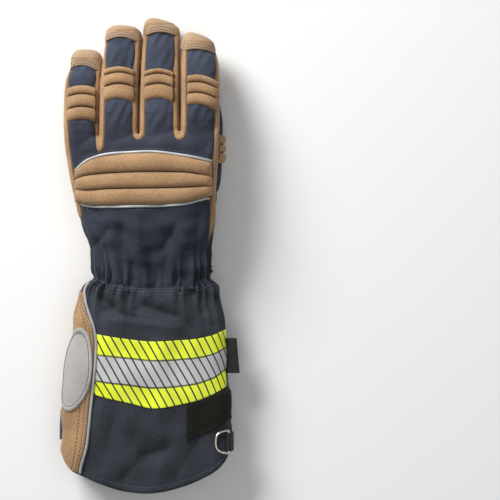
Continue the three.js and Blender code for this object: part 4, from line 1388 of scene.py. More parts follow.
@dataclass
class Hand:
    """The leather hand and the panels, caps and pads sewn to it."""

    finishes: Finishes
    voxel: float = 1.0
    recess: float = 1.3
    cool: Sewing = field(default_factory=lambda: Sewing("back_stitches"))
    dark: Sewing = field(default_factory=lambda: Sewing("leather_stitches", width=0.5))

    def tube_shell(self, tube: Tube, sides: int, grow: float) -> tuple[Array, list]:
        """A closed mesh of one tube.

        Args:
            tube: its form.
            sides: points round it.
            grow: how far its skin is moved out.

        Returns:
            Points and faces.
        """
        start, base = tube.table.x[[0, -1]]
        y = np.arange(start, base, 2.0)
        if tube.tip is not None:
            y = np.concatenate([y, base + (tube.tip - base) * np.sin(np.linspace(0, math.pi / 2, 16))])
        else:
            y = np.append(y, base)
        turn = np.linspace(0, 360, sides, endpoint=False)
        points = tube.points(y[:, None], turn[None], grow).reshape(-1, 3)
        ends = [list(range(sides)), list(range((len(y) - 1) * sides, len(y) * sides))[::-1]]
        return points, grid_faces(len(y), sides, closed=True).tolist() + ends

    def skin(self, grow: float, voxel: float) -> Shell:
        """Melts the palm, fingers and thumb into one skin.

        Args:
            grow: how far the skin is moved out.
            voxel: size of the remesh.

        Returns:
            The skin, in millimetres.
        """
        points, faces, total = [], [], 0
        tubes = [HAND, THUMB, *(finger.tube for finger in FINGERS)]
        for tube in tubes:
            more, shapes = self.tube_shell(tube, 120 if tube is HAND else 64, grow)
            points.append(more)
            faces += [[corner + total for corner in face] for face in shapes]
            total += len(more)
        obj = mesh_object("skin", np.vstack(points), faces, scale=1.0)
        modify(obj, "REMESH", mode="VOXEL", voxel_size=voxel)
        mesh = obj.data
        made = np.zeros(len(mesh.vertices) * 3, np.float32)
        mesh.vertices.foreach_get("co", made)
        corners = np.zeros(len(mesh.loops), np.int32)
        mesh.loops.foreach_get("vertex_index", corners)
        shell = Shell(made.reshape(-1, 3).astype(float), corners.reshape(-1, 4))
        bpy.data.objects.remove(obj)
        return shell

    def middle(self, points: Array) -> Array:
        """Height half way between palm and back over each place.

        Args:
            points: places.

        Returns:
            Heights.
        """
        row = HAND.sections(np.minimum(points[:, 1], 102.5))
        c = np.clip((points[:, 0] - row["x"]) / (row["width"] / 2), -1, 1)
        middle = (row["top"] + row["bottom"]) / 2 + row["lean"] * c
        for finger in FINGERS:
            own = finger.tube.sections(points[:, 1])
            height = (own["top"] + own["bottom"]) / 2
            here = (points[:, 0] > finger.sides[0]) & (points[:, 0] <= finger.sides[1])
            share = smoothstep((points[:, 1] - 92) / 14)
            middle = np.where(here, middle * (1 - share) + height * share, middle)
        return middle

    def fields(self, points: Array) -> dict[Region, Array]:
        """How far inside each panel every point lies.

        Args:
            points: places on the skin.

        Returns:
            A signed distance for each panel.
        """
        plan = points[:, :2]
        above = points[:, 2] - self.middle(points)
        row = THUMB_CEILING.at(points[:, 1])
        across = (points[:, 0] - 10) / 70
        under = row["inner"] + (row["outer"] - row["inner"]) * across - points[:, 2]
        under = np.where(points[:, 1] > 60, np.minimum(under, 1.5 - above), under)
        thumb = np.minimum(signed_distance(plan, rounded(THUMB_OUTLINE, 1)), under)
        seam = points[:, 0] - THUMB_SEAM.at(points[:, 1])["x"]
        base = np.minimum(signed_distance(plan, np.array(THUMB_BASE_OUTLINE, float)), under)
        outline = rounded(spaced(BACK_OUTLINE, 3.0, closed=True), 2)
        back = np.minimum(signed_distance(plan, outline), above + 1.0)
        return {
            Region.BACK: np.minimum(back, -np.maximum(thumb, base) - 0.2),
            Region.THUMB_BACK: np.minimum(thumb, seam),
            Region.THUMB_BASE: base,
        }

    def build(self) -> None:
        """Builds every piece of the hand."""
        shell = self.skin(0.0, self.voxel).smoothed(8)
        self.points = shell.points
        self.shell = Shell(shell.points, shell.triangles())
        self.normals = shell.normals()
        self.ground = Ground(self.points, self.shell.faces)
        log.info("skin: %d points", len(self.points))
        self.inside = self.fields(self.points)
        self.wrist = self.points[:, 1] - WRIST_LINE.at(self.points[:, 0])["y"]
        pleats = GATHERS.rise(HAND.turn_of(self.points), self.wrist)
        self.pleats = np.where(self.wrist < 60, pleats, 0.0)
        self.build_leather(shell)
        self.panels = {region: self.build_panel(region) for region in Region}
        self.build_caps()
        self.build_pads()
        self.build_trim()
        self.build_stitches()

    def build_leather(self, shell: Shell) -> None:
        """Builds the palm, the finger sides and the thumb's front in one hollow piece."""
        deepest = np.maximum.reduce(list(self.inside.values()))
        sunk = self.recess * smoothstep(deepest / 1.5)
        roll = 1.15 * bell(deepest, -1.9, 1.5)
        tucked = 2.2 * smoothstep((0.8 - self.wrist) / 2.4)
        moved = self.points + self.normals * (self.pleats * 0.8 - sunk + roll - tucked)[:, None]
        keep = np.all(self.wrist[shell.faces] > -5, axis=1)
        keep &= ~np.all(deepest[shell.faces] > 4.5, axis=1)
        hollow = self.skin(-3.6, 2.6).smoothed(4)
        pressed = dent_depth(BACK_DENTS, hollow.points[:, 0], hollow.points[:, 1]) + 1.0
        hollow.points[:, 2] -= np.where(hollow.points[:, 2] > self.middle(hollow.points), pressed, 0)
        past = hollow.points[:, 1] - WRIST_LINE.at(hollow.points[:, 0])["y"]
        inner = hollow.faces[np.all(past[hollow.faces] > -9, axis=1)][:, ::-1] + len(moved)
        points = np.vstack([moved, hollow.points])
        faces = np.vstack([shell.faces[keep], inner])
        used, renumbered = np.unique(faces, return_inverse=True)
        obj = mesh_object("leather_hand", points[used], renumbered.reshape(faces.shape))
        # Seams run round the panels and along the fingers' sides, below the middle
        above = self.points[:, 2] - self.middle(self.points)
        thumb = (self.points[:, 2] < 26.5) & (self.points[:, 0] > 31) & (above < -8)
        side = np.where((self.points[:, 1] > 100) & ~thumb, np.clip(above + 7.0, -9, 9), 9.0)
        seam = np.minimum(np.abs(deepest - 0.5), np.abs(side))
        seam = np.concatenate([seam, np.full(len(hollow.points), 9.0)])
        add_values(obj, "seam", seam[used])
        fronts = [f"{finger.name}_front" for finger in FINGERS]
        settle(obj, self.finishes.leather, ("palm_shell", "thumb_shell", *fronts))

    def build_panel(self, region: Region) -> Ground:
        """Cuts one cloth panel from the skin and lays it in its recess.

        Args:
            region: which panel.

        Returns:
            Its finished surface.
        """
        share = np.where(self.wrist > -3.0, self.inside[region], -1.0)
        patch = Patch.cut(self.shell, self.normals, share, self.pleats, self.wrist)
        depth, pleats, wrist = patch.extra.T
        x, y, z = patch.points.T
        slack = Ripples(0.8, 22, 5).rise(x, y + 2 * z)
        covered, relief = np.zeros((2, len(x)))
        nodes = [region.value]
        if region is Region.BACK:
            covered, relief = self.under_pads(x, y), self.back_relief(x, y)
            creases = Ripples(0.5, 9, 9).rise(x - 0.5 * y, 0.35 * (y + x)) * smoothstep((y - 104) / 8)
            slack = (slack + creases - dent_depth(BACK_DENTS, x, y)) * (1 - covered)
            nodes += ["knuckle_back_panel", *(f"{finger.name}_back" for finger in FINGERS)]
        rise = 0.15 - self.recess + 1.15 * shoulder(depth, 3.0) + relief + slack * smoothstep(depth / 6)
        rise = rise + pleats + 0.4 * smoothstep((3.0 - wrist) / 3.0)
        obj, points = patch.build(region.value, patch.lift(rise - 1.8 * covered), 1.4)
        worn = 0.27 if region is Region.BACK else 0.0
        add_values(obj, "fade", worn * smoothstep((points[:, 1] - 108) / 25))
        settle(crisp(obj, 50), self.finishes.cloth, nodes)
        return Ground(patch.lift(rise), patch.triangles)

    def under_pads(self, x: Array, y: Array) -> Array:
        """How far the back panel's places lie under the pads, where its cloth is pressed flat.

        Args:
            x: places across.
            y: places along.

        Returns:
            0 outside the pads, 1 from 2 mm inside their edges.
        """
        lines = KNUCKLE_LINES.at(x)
        inside = np.minimum(y - lines["lower"], lines["upper"] - y)
        for finger in FINGERS:
            low, high = finger.pad_sides
            shift = finger.pad_shift(x)
            along = np.minimum(y - shift - finger.pad_lines[0], finger.pad_lines[3] + shift - y)
            inside = np.maximum(inside, np.minimum(along, np.minimum(x - low, high - x)))
        return smoothstep((inside - 0.8) / 2)

    def back_relief(self, x: Array, y: Array) -> Array:
        """Soft bulges of the back panel between caps and pads.

        Args:
            x: places across.
            y: places along.

        Returns:
            Heights.
        """
        rise = np.zeros(len(x))
        for finger in FINGERS:
            here = (x > finger.sides[0]) & (x <= finger.sides[1]) & (y > 104)
            low, high = finger.pad_lines[3] + finger.pad_arch, finger.cap_edge
            t = (y - low) / (high - low)
            puff = 1.5 * np.sin(np.clip(t, 0, 1) * math.pi) ** 0.7 - 0.5
            rise = np.where(here & (t > -0.2), puff, rise)
            below = (finger.pad_lines[0] - y) / 10
            rise = np.where(here & (below > -0.3) & (below < 1), -0.5 + 0.9 * smoothstep(below), rise)
        lines = KNUCKLE_LINES.at(x)
        above = (y - lines["upper"]) / 12
        low = (lines["lower"] - y) / 14
        rise = np.where((above > -0.3) & (above < 1) & (y < 104), -0.6 + 1.2 * smoothstep(above), rise)
        rise = np.where((above >= 1) & (y < 104), 0.6 * smoothstep((104 - y) / 8 + 0.2), rise)
        return np.where((low > -0.3) & (y < 60), -0.8 + 1.2 * smoothstep(low), rise)

    def cap_outline(self, finger: Finger) -> Array:
        """Plan outline of a fingertip cap.

        Args:
            finger: which finger.

        Returns:
            The outline.
        """
        left, right = finger.cap_sides
        inner = (finger.pad_sides[0] - 1, finger.pad_sides[1] + 1)
        x = np.linspace(left, right, 24)
        u = np.clip((x - inner[0]) / (inner[1] - inner[0]), 0, 1)
        edge = finger.cap_edge + finger.cap_arch * (1 - (2 * u - 1) ** 2)
        edge = edge + finger.cap_tilt * (x - sum(inner) / 2)
        return np.vstack([np.stack([x, edge], 1), [[right, 220], [left, 220]]])

    def build_caps(self) -> None:
        """Builds the leather caps of the four fingertips."""
        middle = self.middle(self.points)
        x, y, z = self.points.T
        for finger in FINGERS:
            near = (y > finger.cap_edge - 8) & (x > finger.sides[0] - 3) & (x < finger.sides[1] + 3)
            near &= z > (16 if finger.name == "index" else 1)
            outline = self.cap_outline(finger)
            inside = signed_distance(self.points[near, :2], outline)
            share = np.full(len(x), -1.0)
            share[near] = np.minimum(inside, z[near] - middle[near] + 2)
            patch = Patch.cut(self.shell, self.normals, share)
            depth = patch.extra[:, 0]
            ridge = bell(depth, 2.6, 0.8) + bell(depth, 4.8, 0.8)
            lower = smoothstep((finger.cap_edge + 14 - patch.points[:, 1]) / 4)
            moved = patch.lift(0.15 + 0.75 * shoulder(depth, 2.2) - 0.3 * ridge * lower)
            name = f"{finger.name}_cap"
            obj, points = patch.build(name, moved, 2.4)
            # The seam along the cap's border becomes a dark line, and the walls under its edge are fully
            # darkened as painted shade
            add_values(obj, "seam", np.append(np.clip(depth, 0, 9), np.zeros(len(points) - len(depth))))
            add_values(obj, "fade", np.full(len(points), 0.45))
            settle(crisp(obj, 50), self.finishes.leather, (name,))
            cap = Ground(moved, patch.triangles)
            u = np.linspace(finger.pad_sides[0] + 0.5, finger.pad_sides[1] - 0.5, 40)
            for inset in (2.6, 4.8):
                path = np.stack([u, np.interp(u, outline[:24, 0], outline[:24, 1]) + inset], 1)
                self.dark.row(*cap.drop(spaced(path, 2.6)), 0.12)

    def rib_profile(self, across: Array, along: Array, crest: float, foot: float) -> Array:
        """Height of three rolls side by side.

        Args:
            across: 0 to 1 across the pad.
            along: 0 to 3 over the three rolls.
            crest: height of a roll.
            foot: height of the pad's border.

        Returns:
            Heights.
        """
        t = along - np.floor(np.clip(along, 0, 2.999))
        roll = np.clip(1 - np.abs(2 * t - 1) ** 2.3, 0, 1) ** 0.5
        inner = (along > 0.5) & (along < 2.5)
        ends = np.clip(np.minimum(across, 1 - across) / 0.05, 0, 1)
        pinch = np.clip(np.minimum(across, 1 - across) / 0.22, 0, 1)
        floor = np.where(inner, foot + (crest - foot) * (0.42 - 0.27 * pinch), foot)
        return foot + (floor - foot) * ends**0.5 + (crest - floor) * roll * (1 - (1 - ends) ** 2) ** 0.5

    def pad(self, name: str, place: Callable[[Array, Array], Array], lines: Callable[[Array], Array],
            columns: int, crest: float) -> None:
        """Builds one ribbed pad.

        Args:
            name: the frame node it replaces.
            place: gives the ground under u and y.
            lines: gives the four line heights at u.
            columns: points across.
            crest: height of the rolls.
        """
        turn = np.linspace(0, math.pi, columns)
        u = 0.5 - 0.5 * np.cos(turn) * (1 - 0.12 * np.sin(turn))
        u = (u - u[0]) / (u[-1] - u[0])
        t = 0.5 - 0.5 * np.cos(np.linspace(0, math.pi, 18))
        along = np.concatenate([t, 1 + t[1:], 2 + t[1:]])
        levels = lines(u)
        y = np.stack([np.interp(along, [0, 1, 2, 3], levels[:, k]) for k in range(columns)], 1)
        uu = np.broadcast_to(u, y.shape)
        base = calm_grid(place(uu, y), 4)
        normal = grid_normals(base)
        rise = self.rib_profile(uu, along[:, None], crest, PAD_FOOT)
        face = base + normal * rise[..., None]
        obj = sheet(name, face, 1.6, 0.3)
        # Painted shade: these seam values darken the leather along the grooves between the rolls, and partly
        # on the pad's walls
        distance = np.minimum(np.abs(along - 1), np.abs(along - 2))[:, None]
        distance = distance * np.abs(levels[3] - levels[0]) / 3
        seam = distance * 1.3 + 1.6 * np.clip(0.1 - np.minimum(uu, 1 - uu), 0, 1) / 0.1
        count = len(obj.data.vertices) - seam.size
        add_values(obj, "seam", np.concatenate([seam.ravel(), np.full(count, 0.6)]))
        settle(obj, self.finishes.leather, (name,))

    def build_pads(self) -> None:
        """Builds the large knuckle pad, the four finger pads and the thumb's."""

        def over_hand(x: Array, y: Array) -> Array:
            """Ground under places in plan, kept on the hand."""
            row = HAND.sections(y.ravel())
            side = (row["x"] - row["width"] / 2 + 1.0).reshape(y.shape)
            x = np.where(y < 90, np.maximum(x, side), x)
            spots, _ = self.ground.drop(np.stack([x.ravel(), y.ravel()], 1))
            return spots.reshape(*x.shape, 3)

        left, right = KNUCKLE_LINES.x[0] + 0.2, KNUCKLE_LINES.x[-1] + 0.6

        def knuckle_lines(u: Array) -> Array:
            """The large pad's lines at u."""
            row = KNUCKLE_LINES.at(left + (right - left) * u)
            return np.stack([row["lower"], row["groove_b"], row["groove_a"], row["upper"]])

        self.pad("knuckle_pad", lambda u, y: over_hand(left + (right - left) * u, y), knuckle_lines,
                 150, KNUCKLE_CREST)
        for finger in FINGERS:
            x0, x1 = finger.pad_sides

            def finger_lines(u: Array, finger: Finger = finger) -> Array:
                """A finger pad's lines at u."""
                low, high = finger.pad_sides
                shift = finger.pad_shift(low + (high - low) * u)
                return np.stack([line + shift for line in finger.pad_lines])

            self.pad(f"{finger.name}_pad", lambda u, y, x0=x0, x1=x1: over_hand(x0 + (x1 - x0) * u, y),
                     finger_lines, 44, FINGER_CREST)

        def over_thumb(u: Array, y: Array) -> Array:
            """Ground round the thumb's outer side."""
            spots, _ = self.ground.near(THUMB.points(y, 50 - 90 * u).reshape(-1, 3))
            return spots.reshape(*u.shape, 3)

        thumb_lines = np.array(THUMB_PAD)[:, None]
        self.pad("thumb_pad", over_thumb, lambda u: thumb_lines + 0 * u, 44, THUMB_CREST)

    def build_trim(self) -> None:
        """Builds the piping of the large pad and the binding of the thumb seam."""
        x = np.linspace(-62.8, 53.6, 90)
        fade = smoothstep(np.minimum(np.arange(90), np.arange(90)[::-1]) / 4.0)
        for column, shift in (("upper", 0.9), ("lower", -0.9)):
            path = np.stack([x, KNUCKLE_LINES.at(x)[column] + shift], 1)
            spots, normals = self.panels[Region.BACK].drop(path)
            name = column + "_piping"
            obj = sweep(name, calm_path(spots + normals * (0.9 * fade - 0.2)[:, None], 6), 1.15)
            settle(obj, self.finishes.silver_piping, (name,))
        path = spaced(rounded(BINDING_PATH, 3, closed=False), 1.2)
        spots, normals = self.ground.drop(path, Side.PALM)
        obj = sweep("thumb_binding", calm_path(spots, 4) + normals * 0.3, 1.6, 0.7, normals)
        settle(obj, self.finishes.webbing, ("thumb_binding",))

    def build_stitches(self) -> None:
        """Sews the rows beside pads, piping and seams."""
        back = self.panels[Region.BACK]
        for finger in FINGERS:
            low, high = finger.pad_sides
            x = low + (high - low) * np.linspace(0.06, 0.94, 30)
            for level in (finger.pad_lines[3] + 2.0, finger.pad_lines[0] - 2.2):
                path = spaced(np.stack([x, level + finger.pad_shift(x)], 1), 2.6)
                self.cool.row(*back.drop(path), 0.02)
        x = np.linspace(-58, 50, 90)
        for column, shift in (("upper", 3.6), ("lower", -3.6)):
            path = spaced(np.stack([x, KNUCKLE_LINES.at(x)[column] + shift], 1), 3.0)
            self.cool.row(*back.drop(path), 0.02)
        settle(self.cool.build(), self.finishes.thread_cool)
        settle(self.dark.build(), self.finishes.thread_dark)


# The cuff


@dataclass
class CuffPieces:
    """The gathered cuff with its shield, band, patches and metal pieces."""

    finishes: Finishes
    columns: int = 288
    rows: int = 160
    wall: float = 2.3
    cool: Sewing = field(default_factory=lambda: Sewing("cuff_stitches"))
    dark: Sewing = field(default_factory=lambda: Sewing("shield_stitches", width=0.55))

    def build(self) -> None:
        """Builds every piece of the cuff."""
        self.build_tube()
        self.build_shield()
        self.build_badge()
        self.build_tape()
        self.build_loop_patch()
        self.build_tag()
        self.build_ring()
        self.build_strap()
        self.build_stitches()

    def build_tube(self) -> None:
        """Builds the open tube, its hem and its inner face."""
        turn = np.linspace(0, 360, self.columns, endpoint=False)
        wrist = CUFF.end(turn, WRIST_LINE) + 1.6
        hem = CUFF.end(turn, HEM_LINE)
        t = np.linspace(0, 1, self.rows) ** 1.12
        y = wrist[None] + (hem - wrist)[None] * t[:, None]
        tuck = -1.3 * (1 - smoothstep((wrist[None] - y) / 3.0))
        from_hem = y - hem[None]
        roll = 0.35 * bell(from_hem, 2.0, 1.6) - 0.25 * bell(from_hem, 4.2, 0.8)
        outer = CUFF.skin(y, turn[None], tuck + roll)
        rings = [outer]
        for drop, past in ((-0.3, 0.7), (-1.0, 1.1), (-1.8, 0.9), (-self.wall, 0.3)):
            rings.append(CUFF.skin((hem - past)[None], turn[None], drop))
        back = np.linspace(0, 1, 46)[1:]
        y_in = hem[None] + (wrist - hem)[None] * back[:, None]
        rings.append(CUFF.skin(y_in, turn[None], -self.wall))
        grid = np.vstack(rings)
        points = grid.reshape(-1, 3)
        points[:, 2] = np.maximum(points[:, 2], 0.05)
        obj = mesh_object("cuff", points, grid_faces(len(grid), self.columns, closed=True))
        settle(obj, self.finishes.cuff, ("cuff",))

    def shield_grid(self, rows: int, columns: int, lift: float) -> Array:
        """Places on the shield's face.

        Args:
            rows: rows along it.
            columns: points across it.
            lift: distance out from the cuff.

        Returns:
            Rows, columns and three numbers.
        """
        u = np.linspace(0, 1, columns)[None]
        v = np.linspace(0, 1, rows)[:, None]
        y = np.broadcast_to(-19 + (-182 + 19) * v, (rows, columns)).copy()
        for _ in range(6):
            edge = CUFF.back_turn(SHIELD_SEAM.at(y)["x"] - 1.6, y)
            turn = edge + (SHIELD_UNDER - edge) * u
            low = CUFF.end(turn, HEM_LINE) + 0.8
            y = -19 + (low + 19) * v
        return CUFF.skin(y, turn, lift)

    def build_shield(self) -> None:
        """Builds the leather shield and the piping along it."""
        face = self.shield_grid(150, 56, 0.0)
        across = np.linspace(0, 56, 56)
        pillow = 1.5 * shoulder(np.minimum(across, 56 - across), 3.0)
        sewn = 0.3 * bell(across, 6.5, 1.0) + 0.2 * bell(across, 3.4, 0.9)
        face = face + grid_normals(face) * (0.2 + pillow - sewn)[:, None]
        obj = sheet("side_shield", face, 2.0, 0.35)
        add_values(obj, "seam", np.full(len(obj.data.vertices), 9.0))
        settle(obj, self.finishes.leather, ("side_shield",))
        y = np.linspace(-19, -184.5, 150)
        x = SHIELD_SEAM.at(y)["x"]
        turn = CUFF.back_turn(x, y)
        obj = sweep("shield_piping", calm_path(CUFF.skin(y, turn, 1.1), 8), 1.2)
        settle(obj, self.finishes.pale_piping, ("shield_piping",))
        shield = Ground.of_grid(face)
        for column in (7, 3):
            self.dark.row(*self.outward(shield.near(spaced(face[2:-2, column], 3.2))), 0.1)

    def outward(self, found: tuple[Array, Array]) -> tuple[Array, Array]:
        """Turns normals away from the middle of the cuff.

        Args:
            found: points and normals.

        Returns:
            The same, all facing out.
        """
        points, normals = found
        away = points * (1, 0, 1) - (0, 0, CUFF_MIDDLE)
        return points, normals * np.sign((away * normals).sum(1))[:, None]

    def badge_oval(self, reach: float, angle: Array) -> tuple[Array, Array]:
        """Places on an oval inside the badge.

        Args:
            reach: 1 at the badge's edge.
            angle: angles round it.

        Returns:
            Places along the cuff and angles round it.
        """
        return (BADGE_MIDDLE[0] + BADGE_REACH[0] * reach * np.cos(angle),
                BADGE_MIDDLE[1] + BADGE_REACH[1] * reach * np.sin(angle))

    def build_badge(self) -> None:
        """Builds the bare oval patch with its raised rim."""
        angle = np.linspace(0, 2 * math.pi, 120, endpoint=False)
        rings = []
        for reach, rise in ((1.0, 0.2), (1.0, 1.2), (0.985, 1.75), (0.95, 1.9), (0.9, 1.75), (0.885, 1.35),
                            (0.8, 1.3), (0.6, 1.35), (0.4, 1.4), (0.2, 1.4), (0.02, 1.4)):
            y, turn = self.badge_oval(reach, angle)
            rings.append(CUFF.skin(y, turn, 1.4 + rise))
        grid = np.stack(rings)
        middle = list(range((len(rings) - 1) * 120, len(rings) * 120))
        faces = grid_faces(len(rings), 120, closed=True).tolist() + [middle]
        obj = mesh_object("badge", grid.reshape(-1, 3), faces)
        settle(crisp(obj, 45), self.finishes.badge, ("badge",))
        y, turn = self.badge_oval(0.875, np.linspace(0, 2 * math.pi, 400))
        path = spaced(CUFF.skin(y, turn, 1.4 + 1.4), 2.3)
        out = CUFF.skin(y, turn, 4.0) - CUFF.skin(y, turn, 1.0)
        out = spaced(unit(out), 1.0)
        normals = read_path(np.linspace(0, 1, len(path)), np.linspace(0, 1, len(out)), out)
        self.dark.row(path, normals, 0.1)

    def build_tape(self) -> None:
        """Builds the three strips of the reflective band."""
        yellow, silver = (self.finishes.yellow, "yellow_tape"), (self.finishes.silver, "silver_tape")
        strips = (("tape_upper", *yellow), ("tape_middle", *silver), ("tape_lower", *yellow))
        for number, (name, material, slot) in enumerate(strips):
            columns, rows = 150, 18
            u = np.linspace(0, 1, columns)[None]
            v = np.linspace(1, 0, rows)[:, None]
            y = np.broadcast_to(TAPE_LINES.data[1, 1 + number] - 10 * v, (rows, columns)).copy()
            for _ in range(8):
                left = CUFF.back_turn(SHIELD_SEAM.at(y)["x"] + 1.0, y)
                right = CUFF.back_turn(np.full_like(y, 65.3), y)
                turn = left + (right - left) * u
                line = TAPE_LINES.at(CUFF.points(y, turn)[..., 0])
                first = line[f"edge{number}"] - (0.1 if number else 0)
                last = line[f"edge{number + 1}"] + (0.1 if number < 2 else 0)
                y = first + (last - first) * v
            face = CUFF.skin(y, turn, 0.75)
            # The flat coordinates start on the middle line, so that the lines run on across the strips
            across = measured(face, 1)
            zero = [np.interp(0, face[k, :, 0], across[k]) for k in range(rows)]
            plan = np.stack([across - np.array(zero)[:, None], face[..., 1]], -1).reshape(-1, 2)
            obj = sheet(name, face, 0.8, 0.12, plan)
            width = np.linalg.norm(face[0] - face[-1], axis=-1)
            # The band's own outer edges carry no dark line
            rim = np.minimum(9 if number == 0 else v * width, 9 if number == 2 else (1 - v) * width)
            count = len(obj.data.vertices) - rim.size
            add_values(obj, "rim", np.concatenate([rim.ravel(), np.full(count, 9.0)]))
            settle(obj, material, (name,))

    def build_loop_patch(self) -> None:
        """Builds the loop fabric round the thumb-side edge."""

        def place(u: Array, v: Array, lift: float) -> Array:
            """Places on the patch, from 0 to 1 round the cuff and along it."""
            row = LOOP_PATCH_LINES.at(68 - 98 * u)
            return CUFF.skin(row["top"] + (row["bottom"] - row["top"]) * v, 68 - 98 * u, lift)

        face = place(np.linspace(0, 1, 90)[None], np.linspace(1, 0, 36)[:, None], 1.35)
        obj = sheet("loop_patch", face, 1.3, 0.4)
        settle(obj, self.finishes.loop, ("loop_patch",))
        border = np.array([[0.03, 0.06], [0.97, 0.06], [0.97, 0.94], [0.03, 0.94], [0.03, 0.06]])
        spots = spaced(place(*spaced(border, 0.02).T, 1.4), 2.8)
        self.loop_row = self.outward(Ground.of_grid(face).near(spots))

    def build_tag(self) -> None:
        """Builds the bare woven tag in the thumb-side seam."""
        low, high = box_mm("side_tag")
        y = np.linspace(high[1], low[1], 14)
        u = np.linspace(0, 1, 8)
        left = low[0] - 1.5
        right = np.interp(y, [low[1], high[1]], [high[0], high[0] - 2.6])
        x = left + (right[:, None] - left) * u[None]
        wave = 0.5 * np.sin(u * 3)[None] + 0.35 * np.sin(y * 0.21)[:, None] * u[None]
        middle = (low[2] + high[2]) / 2
        front = np.stack([x, np.broadcast_to(y[:, None], x.shape), middle + wave], -1)
        obj = mesh_object("side_tag", front.reshape(-1, 3), grid_faces(*front.shape[:2]))
        modify(obj, "SOLIDIFY", thickness=0.9 * MM, offset=0)
        settle(crisp(obj), self.finishes.webbing, ("side_tag",))

    def ribbon(self, name: str, path: Array, width: float, thickness: float) -> Object:
        """A band of webbing that runs along a path in a plane across Y.

        Args:
            name: the object's name.
            path: points of its middle.
            width: its width along Y.
            thickness: how thick it is.

        Returns:
            The object.
        """
        across = np.linspace(-0.5, 0.5, 7) * width
        grid = path[:, None] + np.stack([0 * across, across, 0 * across], 1)[None]
        obj = mesh_object(name, grid.reshape(-1, 3), grid_faces(*grid.shape[:2]))
        modify(obj, "SOLIDIFY", thickness=thickness * MM, offset=0)
        return crisp(modify(obj, "BEVEL", width=0.25 * MM, segments=2, limit_method="ANGLE"), 45)

    def wire(self, name: str, path: Array, radius: float) -> Object:
        """Bends a closed round wire along a path.

        Args:
            name: the object's name.
            path: points of its middle, in millimetres.
            radius: of the wire.

        Returns:
            The object, as a mesh.
        """
        bpy.ops.curve.primitive_bezier_circle_add(radius=0.01)
        obj = bpy.context.object
        obj.name = name
        obj.data.splines.clear()
        spline = obj.data.splines.new("POLY")
        spline.points.add(len(path) - 1)
        for point, spot in zip(spline.points, path):
            point.co = (*(spot * MM), 1)
        spline.use_cyclic_u = True
        obj.data.dimensions = "3D"
        obj.data.bevel_depth = radius * MM
        obj.data.bevel_resolution = 5
        make_active(obj)
        bpy.ops.object.convert(target="MESH")
        bpy.ops.object.shade_smooth()
        return obj

    def build_ring(self) -> None:
        """Builds the D-ring and its webbing loop."""
        low, high = box_mm("d_ring")
        x, y, z = RING_BAR
        depth, half = RING_DEPTH - 2 * RING_WIRE, RING_LENGTH / 2 - RING_WIRE
        way = unit(np.array([low[0] + RING_WIRE - x, 0, high[2] - RING_WIRE - z]))
        angle = np.linspace(0, math.pi, 40)
        along = np.array([0, 1, 0])
        arc = (RING_BAR + way * (depth * np.sin(angle) ** 0.8)[:, None]
               + along * (half * signed_power(np.cos(angle), 0.7))[:, None])
        bar = RING_BAR + along * np.linspace(-half, half, 12)[1:-1, None]
        obj = self.wire("d_ring", rounded(np.vstack([bar, arc]), 1), RING_WIRE)
        settle(obj, self.finishes.nickel, ("d_ring",), body="d_ring")
        # The webbing runs up the cuff's side and once round the bar
        tail = CUFF.skin(np.full(16, y), np.linspace(-9, 24, 16), 1.2)
        radius = RING_WIRE + 0.5 + 0.6
        turn = math.atan2(tail[-1, 2] - z, tail[-1, 0] - x) + np.linspace(0, 5.0, 26)
        round_bar = np.stack([x + radius * np.cos(turn), y + 0 * turn, z + radius * np.sin(turn)], 1)
        obj = self.ribbon("d_ring_loop", np.vstack([tail[:-1], round_bar]), RING_BAND, 1.1)
        settle(obj, self.finishes.webbing, ("d_ring_loop",))

    def build_strap(self) -> None:
        """Builds the strap, its metal loop and holder, and the rubber tab, under the cuff."""
        woven, moulded = (self.finishes.strap, "navy_shell"), (self.finishes.rubber, "grey_rubber")
        for name, (material, slot) in (("strap", woven), ("ring_holder", woven), ("pull_tab", moulded)):
            obj = bpy.data.objects.new(name + "_look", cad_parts[name].data.copy())
            bpy.context.scene.collection.objects.link(obj)
            modify(obj, "WELD", merge_threshold=0.01 * MM)
            modify(obj, "DECIMATE", decimate_type="DISSOLVE", angle_limit=math.radians(4))
            modify(obj, "BEVEL", width=0.3 * MM, segments=2, limit_method="ANGLE")
            settle(crisp(obj, 40), material, (name,))
        low, high = box_mm("strap_ring")
        middle, half = (low + high) / 2, (high - low) / 2 - STRAP_WIRE
        angle = np.linspace(0, 2 * math.pi, 64, endpoint=False)
        across, along = signed_power(np.cos(angle), 0.22), signed_power(np.sin(angle), 0.22)
        path = middle + np.stack([half[0] * across, half[1] * along, -half[2] * across], 1)
        obj = self.wire("strap_ring", path, STRAP_WIRE)
        settle(obj, self.finishes.nickel, ("strap_ring",))
        x = np.linspace(-48, 22, 60)
        for shift in (-12, -9.5, 9.5, 12):
            path = np.stack([x, np.full(60, STRAP_MIDDLE + shift), np.full(60, 2.4)], 1)
            self.cool.row(path, np.tile([0.0, 0.0, -1.0], (60, 1)), 0.05)

    def build_stitches(self) -> None:
        """Sews the wrist, the hem, the shield and the patches."""
        turn = np.linspace(0, 360, 720, endpoint=False)
        wrist = CUFF.end(turn, WRIST_LINE)
        for shift in (0.6, 3.2, 5.8):
            self.cloth_row(wrist - shift, turn, 3.1, 0.05)
        hem = CUFF.end(turn, HEM_LINE)
        self.cloth_row(hem + 4.2, turn, 3.2, 0.0, skip=(118, 214))
        settle(self.cool.build(), self.finishes.thread_cool)
        settle(self.dark.build(), self.finishes.thread_dark)
        loops = Sewing("patch_stitches", width=0.5)
        loops.row(*self.loop_row, 0.05)
        settle(loops.build(), self.finishes.thread_dark)

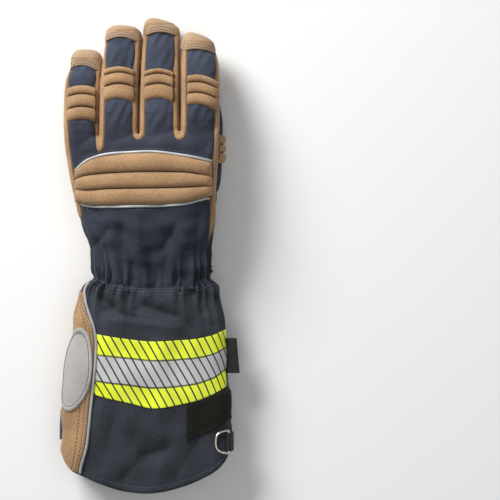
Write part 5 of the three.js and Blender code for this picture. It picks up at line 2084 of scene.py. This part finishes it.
    def cloth_row(self, y: Array, turn: Array, pitch: float, lift: float,
                  skip: tuple[float, float] | None = None) -> None:
        """Sews one row round the cuff.

        Args:
            y: places along the cuff.
            turn: angles round it.
            pitch: distance between stitches.
            lift: how far the thread stands out.
            skip: angles between which nothing is sewn.
        """
        path = CUFF.skin(y, turn)
        out = CUFF.skin(y, turn, 1.0) - path
        both = np.hstack([path, out])
        if skip is not None:
            both = np.vstack([both[turn > skip[1]], both[turn < skip[0]]])
        along = measured(both[:, :3])
        found = read_path(np.arange(0, along[-1], pitch), along, both)
        self.cool.row(found[:, :3], found[:, 3:], lift)


# Surroundings


@dataclass
class Studio:
    """A pale floor, soft lamps and a camera looking straight down."""

    middle: tuple[float, float] = (0.0854, 0.0047)
    height: float = 2.4
    seen: float = 0.425

    def build(self) -> None:
        """Builds the floor, the lamps, the sky and the camera."""
        bpy.ops.mesh.primitive_plane_add(size=6, location=(0, 0, -0.0002))
        floor = bpy.context.object
        floor.name = "floor"
        recipe = Recipe("pale painted floor")
        floor.data.materials.append(recipe.finish(linear("f4f4f3"), 0.9, None, Specular_IOR_Level=0.1))
        world = bpy.context.scene.world or bpy.data.worlds.new("sky")
        bpy.context.scene.world = world
        world.use_nodes = True
        sky = world.node_tree.nodes["Background"].inputs
        sky["Color"].default_value = (0.96, 0.98, 1.0, 1)
        sky["Strength"].default_value = 0.22
        self.lamp("key", (-0.9, 1.25, 0.95), 0.8, 44)
        self.lamp("fill", (0.5, -0.4, 1.6), 1.6, 7)
        camera = bpy.data.objects.new("camera", bpy.data.cameras.new("camera"))
        bpy.context.scene.collection.objects.link(camera)
        camera.location = (*self.middle, self.height + 0.025)
        camera.data.lens = camera.data.sensor_width * self.height / self.seen
        camera.data.clip_start, camera.data.clip_end = 0.01, 20
        bpy.context.scene.camera = camera
        bpy.context.scene.view_settings.view_transform = "Standard"

    def lamp(self, name: str, place: tuple[float, float, float], size: float, power: float) -> None:
        """Hangs one square lamp that faces the glove.

        Args:
            name: the lamp's name.
            place: where it hangs.
            size: its side.
            power: in watts.
        """
        light = bpy.data.lights.new(name, "AREA")
        light.size = size
        light.energy = power
        obj = bpy.data.objects.new(name, light)
        bpy.context.scene.collection.objects.link(obj)
        obj.location = place
        obj.rotation_mode = "QUATERNION"
        obj.rotation_quaternion = (-Vector(place)).to_track_quat("-Z", "Y")


def main() -> None:
    """Builds the glove and its surroundings in order."""
    finishes = Finishes()
    Hand(finishes).build()
    CuffPieces(finishes).build()
    Studio().build()
    bpy.context.view_layer.update()


if __name__ == "__main__":
    main()
